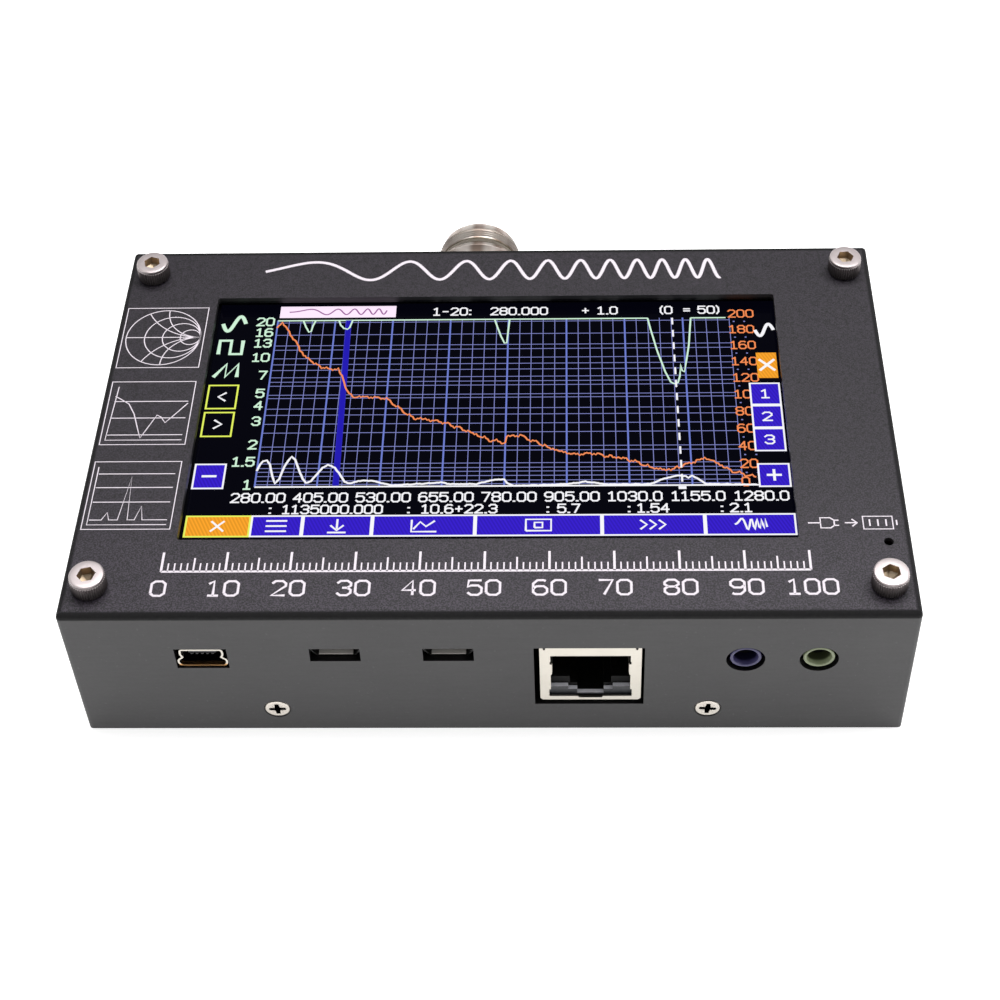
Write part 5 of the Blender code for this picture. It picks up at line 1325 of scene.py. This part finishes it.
def make_antenna_jack():
    """Hexagon flange, round collar, groove, thread and mouth, with heights from the flange's seat."""
    low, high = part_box("antenna_jack_body")
    axis = Vector(((low.x + high.x) / 2, JACK_SEAT, (low.z + high.z) / 2))
    reach = (high.y - JACK_SEAT) / MM
    bore, bore_end = 4.1, reach - 9.3
    profile = [
        (6.2, 0), (9.1, 3.3), (9.5, 3.5), (9.5, 5.5), (9.35, 5.75), (9.0, 5.9), (7.0, 5.9), (7.0, 6.9),
        (7.3, 7.1), (7.45, 7.3), (7.45, 8.6), (7.3, 8.8), (6.6, 8.9), (6.6, 9.7), (7.1, 9.8), (7.2, 9.95),
        (7.2, 12.1), (7.4, 12.2), (7.3, reach - 2.1), (7.1, reach - 1.5), (6.9, reach - 0.9),
        (6.7, reach - 0.45), (6.5, reach - 0.2), (6.2, reach - 0.05), (6.0, reach), (4.5, reach),
        (bore, reach - 0.35), (bore, bore_end), (3.4, bore_end),
    ]
    shape = lathe([(radius * MM, height * MM) for radius, height in profile], 96)
    put_in(shape, thread_ridge(7.2 * MM, 7.42 * MM, 0.52 * MM, 10.2 * MM, 11.9 * MM))
    end = low.y - JACK_SEAT
    stub = [(3.6 * MM, end), (5.6 * MM, end), (6.0 * MM, end + 0.4 * MM), (6.0 * MM, 0.3 * MM)]
    put_in(shape, lathe(stub, 64))
    flange = bmesh.new()
    radius = 9.5 * MM / math.cos(math.pi / 6)
    bmesh.ops.create_cone(
        flange, cap_ends=True, segments=6, radius1=radius, radius2=radius, depth=3.3 * MM,
        matrix=Matrix.Translation((0, 0, 1.65 * MM)) @ Matrix.Rotation(math.radians(30), 4, "Z"),
    )
    soften(flange, 0.3 * MM, 3, 80)
    soften(flange, 0.12 * MM, 2, 45)
    put_in(shape, flange)
    move(shape, Matrix.Translation(axis) @ TO_BACK)
    add_shape("antenna_jack_turned", shape, "turned_nickel", "antenna_jack_body", 40)
    make_jack_contact(axis, reach)


def make_jack_contact(axis, reach):
    """Centre contact with a rounded mouth and four saw slots."""
    tip, base = reach - 1.5, reach - 9.0
    radius, bore = 1.5, 0.8
    profile = [
        (bore, tip - 5), (bore, tip - 0.2), (bore + 0.15, tip), (radius - 0.2, tip), (radius, tip - 0.2),
        (radius, base), (1.2, base), (1.2, -6.8), (0.8, -6.8), (0.8, -13.8), (0, -13.8),
    ]
    shape = lathe([(r * MM, z * MM) for r, z in profile], 48)
    for turn in range(4):
        angle = math.radians(45 + 90 * turn)
        for point in shape.verts:
            offset = (math.atan2(point.co.y, point.co.x) - angle + math.pi) % (2 * math.pi) - math.pi
            if abs(offset) < math.radians(8) and point.co.z > (tip - 3.5) * MM:
                bmesh.ops.translate(shape, verts=[point], vec=(0, 0, -1.2 * MM))
    move(shape, Matrix.Translation(axis) @ TO_BACK)
    add_shape("antenna_jack_pin", shape, "brass", "antenna_jack_contact", 30)


# Power switch

# How far along its half of the rocker each mark stands
MARK_SHARE = 0.55


def make_switch_marks():
    """A bar and a ring on the two halves of the rocker."""
    pivot = Vector((47.95, 37.5, 7.0)) * MM
    half_length, end_rise, middle_rise = 5.05 * MM, 5.0 * MM, 3.9 * MM
    slope = math.atan2(end_rise - middle_rise, half_length)
    rest = Matrix.Translation(pivot) @ Matrix.Rotation(math.radians(-10), 4, "Z")
    meshes = []
    for side in (-1, 1):
        rise = middle_rise + (end_rise - middle_rise) * MARK_SHARE
        face = Matrix.Translation((side * half_length * MARK_SHARE, rise, 0))
        tilt = Matrix.Rotation(side * slope, 4, "Z") @ TO_BACK
        if side < 0:
            mesh = ribbon(arc_points((0, 0), 1.05 * MM, 0, 2 * math.pi, 32), 0.32 * MM, 0, 0.06 * MM)
        else:
            mesh = ribbon([(0, -1.1 * MM), (0, 1.1 * MM)], 0.36 * MM, 0, 0.06 * MM)
        mesh.transform(rest @ face @ tilt)
        meshes.append(mesh)
    mesh = plain_mesh(gather(meshes), "switch_marks")
    add_piece("power_switch_marks", mesh, INK, "power_rocker")


# Scene

# Nodes whose finish isn't that of their slot
NODE_FINISHES = {"network_socket_insert": "socket_insert"}

# Strength of the floor's glow and of the room as paint and as reflections see it
FLOOR_GLOW = 0.6
ROOM_FOR_PAINT = 0.5
ROOM_FOR_GLOSS = 0.045

# The solved camera: its place, its turn, height and roll in degrees, and its lens
CAMERA_PLACE = Vector((13.462, -216.055, 264.917)) * MM
CAMERA_TURNS = (2.505, 45.536, -2.185)
SENSOR_WIDTH = 36
FOCAL_PIXELS = 1978.6
PHOTO_PIXELS = 1000


def dress_nodes():
    """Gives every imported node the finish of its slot."""
    slots = {entry["node"]: entry["material_slot"] for entry in frame["record"]["subparts"]}
    for name, node in frame["nodes"].items():
        finish = NODE_FINISHES.get(name, slots[name])
        node.data.materials.clear()
        node.data.materials.append(FINISHES[finish])


def make_floor():
    shape = bmesh.new()
    bmesh.ops.create_grid(shape, x_segments=4, y_segments=4, size=3.0)
    floor = bpy.data.objects.new("floor", plain_mesh(shape, "floor"))
    bpy.context.scene.collection.objects.link(floor)
    floor.location.z = -0.05 * MM
    finish = Finish("floor_white", (0.88, 0.88, 0.88), 0.9)
    seen = finish.node("ShaderNodeLightPath")
    glow = seen["Is Camera Ray"].math("MAXIMUM", seen["Is Glossy Ray"]) * FLOOR_GLOW
    emission = finish.node("ShaderNodeEmission", None, {"Color": (1, 1, 1), "Strength": glow})
    paper = Value(finish, finish.shader.outputs[0])
    both = finish.node("ShaderNodeAddShader", None, {0: paper, 1: emission["Emission"]})
    finish.put(finish.tree.nodes["Material Output"].inputs["Surface"], both["Shader"])
    floor.data.materials.append(finish.material)


def make_world():
    """White behind the part for the camera, a grey room for paint and a dark one for reflections."""
    world = bpy.data.worlds.new("studio")
    bpy.context.scene.world = world
    world.use_nodes = True
    tree = world.node_tree
    path = tree.nodes.new("ShaderNodeLightPath")
    strength = ROOM_FOR_PAINT
    socket = None
    rays = (("Is Glossy Ray", ROOM_FOR_GLOSS), ("Is Transmission Ray", 1.0), ("Is Camera Ray", 1.0))
    for ray, level in rays:
        mix = tree.nodes.new("ShaderNodeMix")
        mix.data_type = "FLOAT"
        tree.links.new(path.outputs[ray], mix.inputs[0])
        mix.inputs[2].default_value = strength
        if socket:
            tree.links.new(socket, mix.inputs[2])
        mix.inputs[3].default_value = level
        socket = mix.outputs[0]
    background = tree.nodes["Background"]
    tree.links.new(socket, background.inputs["Strength"])
    background.inputs["Color"].default_value = (1, 1, 1, 1)


def add_lamp(name, place, aim, size, power):
    lamp = bpy.data.lights.new(name, "AREA")
    lamp.shape = "RECTANGLE"
    lamp.size, lamp.size_y = size
    lamp.energy = power
    holder = bpy.data.objects.new(name, lamp)
    holder.location = place
    holder.rotation_euler = (Vector(aim) - Vector(place)).to_track_quat("-Z", "Y").to_euler()
    bpy.context.scene.collection.objects.link(holder)


def make_lamps():
    add_lamp("overhead", (0.14, 0.19, 0.78), (0.14, 0.02, 0), (0.8, 0.44), 6.4)
    add_lamp("left", (-0.75, -0.1, 0.4), (0, 0, 0), (0.3, 0.5), 0.5)
    add_lamp("right", (0.75, -0.1, 0.5), (0, 0, 0), (0.3, 0.5), 1.6)


def make_camera():
    """The photograph's camera."""
    around, height, roll = (math.radians(turn) for turn in CAMERA_TURNS)
    level_back = Vector((math.sin(around), -math.cos(around), 0))
    back = level_back * math.cos(height) + Vector((0, 0, math.sin(height)))
    right = Vector((math.cos(around), math.sin(around), 0))
    up = back.cross(right)
    rolled_right = right * math.cos(roll) + up * math.sin(roll)
    rolled_up = up * math.cos(roll) - right * math.sin(roll)
    camera = bpy.data.cameras.new("camera")
    camera.sensor_width = SENSOR_WIDTH
    camera.lens = SENSOR_WIDTH * FOCAL_PIXELS / PHOTO_PIXELS
    camera.shift_x = -0.015
    camera.shift_y = -0.15
    camera.clip_start = 0.01
    holder = bpy.data.objects.new("camera", camera)
    turned = Matrix((rolled_right, rolled_up, back)).transposed().to_4x4()
    holder.matrix_world = Matrix.Translation(CAMERA_PLACE) @ turned
    bpy.context.scene.collection.objects.link(holder)
    bpy.context.scene.camera = holder


dress_nodes()
make_panel_print()
make_picture()
make_cap_screws()
make_countersunk_screws()
make_mini_usb()
make_micro_usb()
make_network_socket()
make_audio_jacks()
make_antenna_jack()
make_switch_marks()
make_floor()
make_world()
make_lamps()
make_camera()
bpy.context.scene.view_settings.view_transform = "Standard"
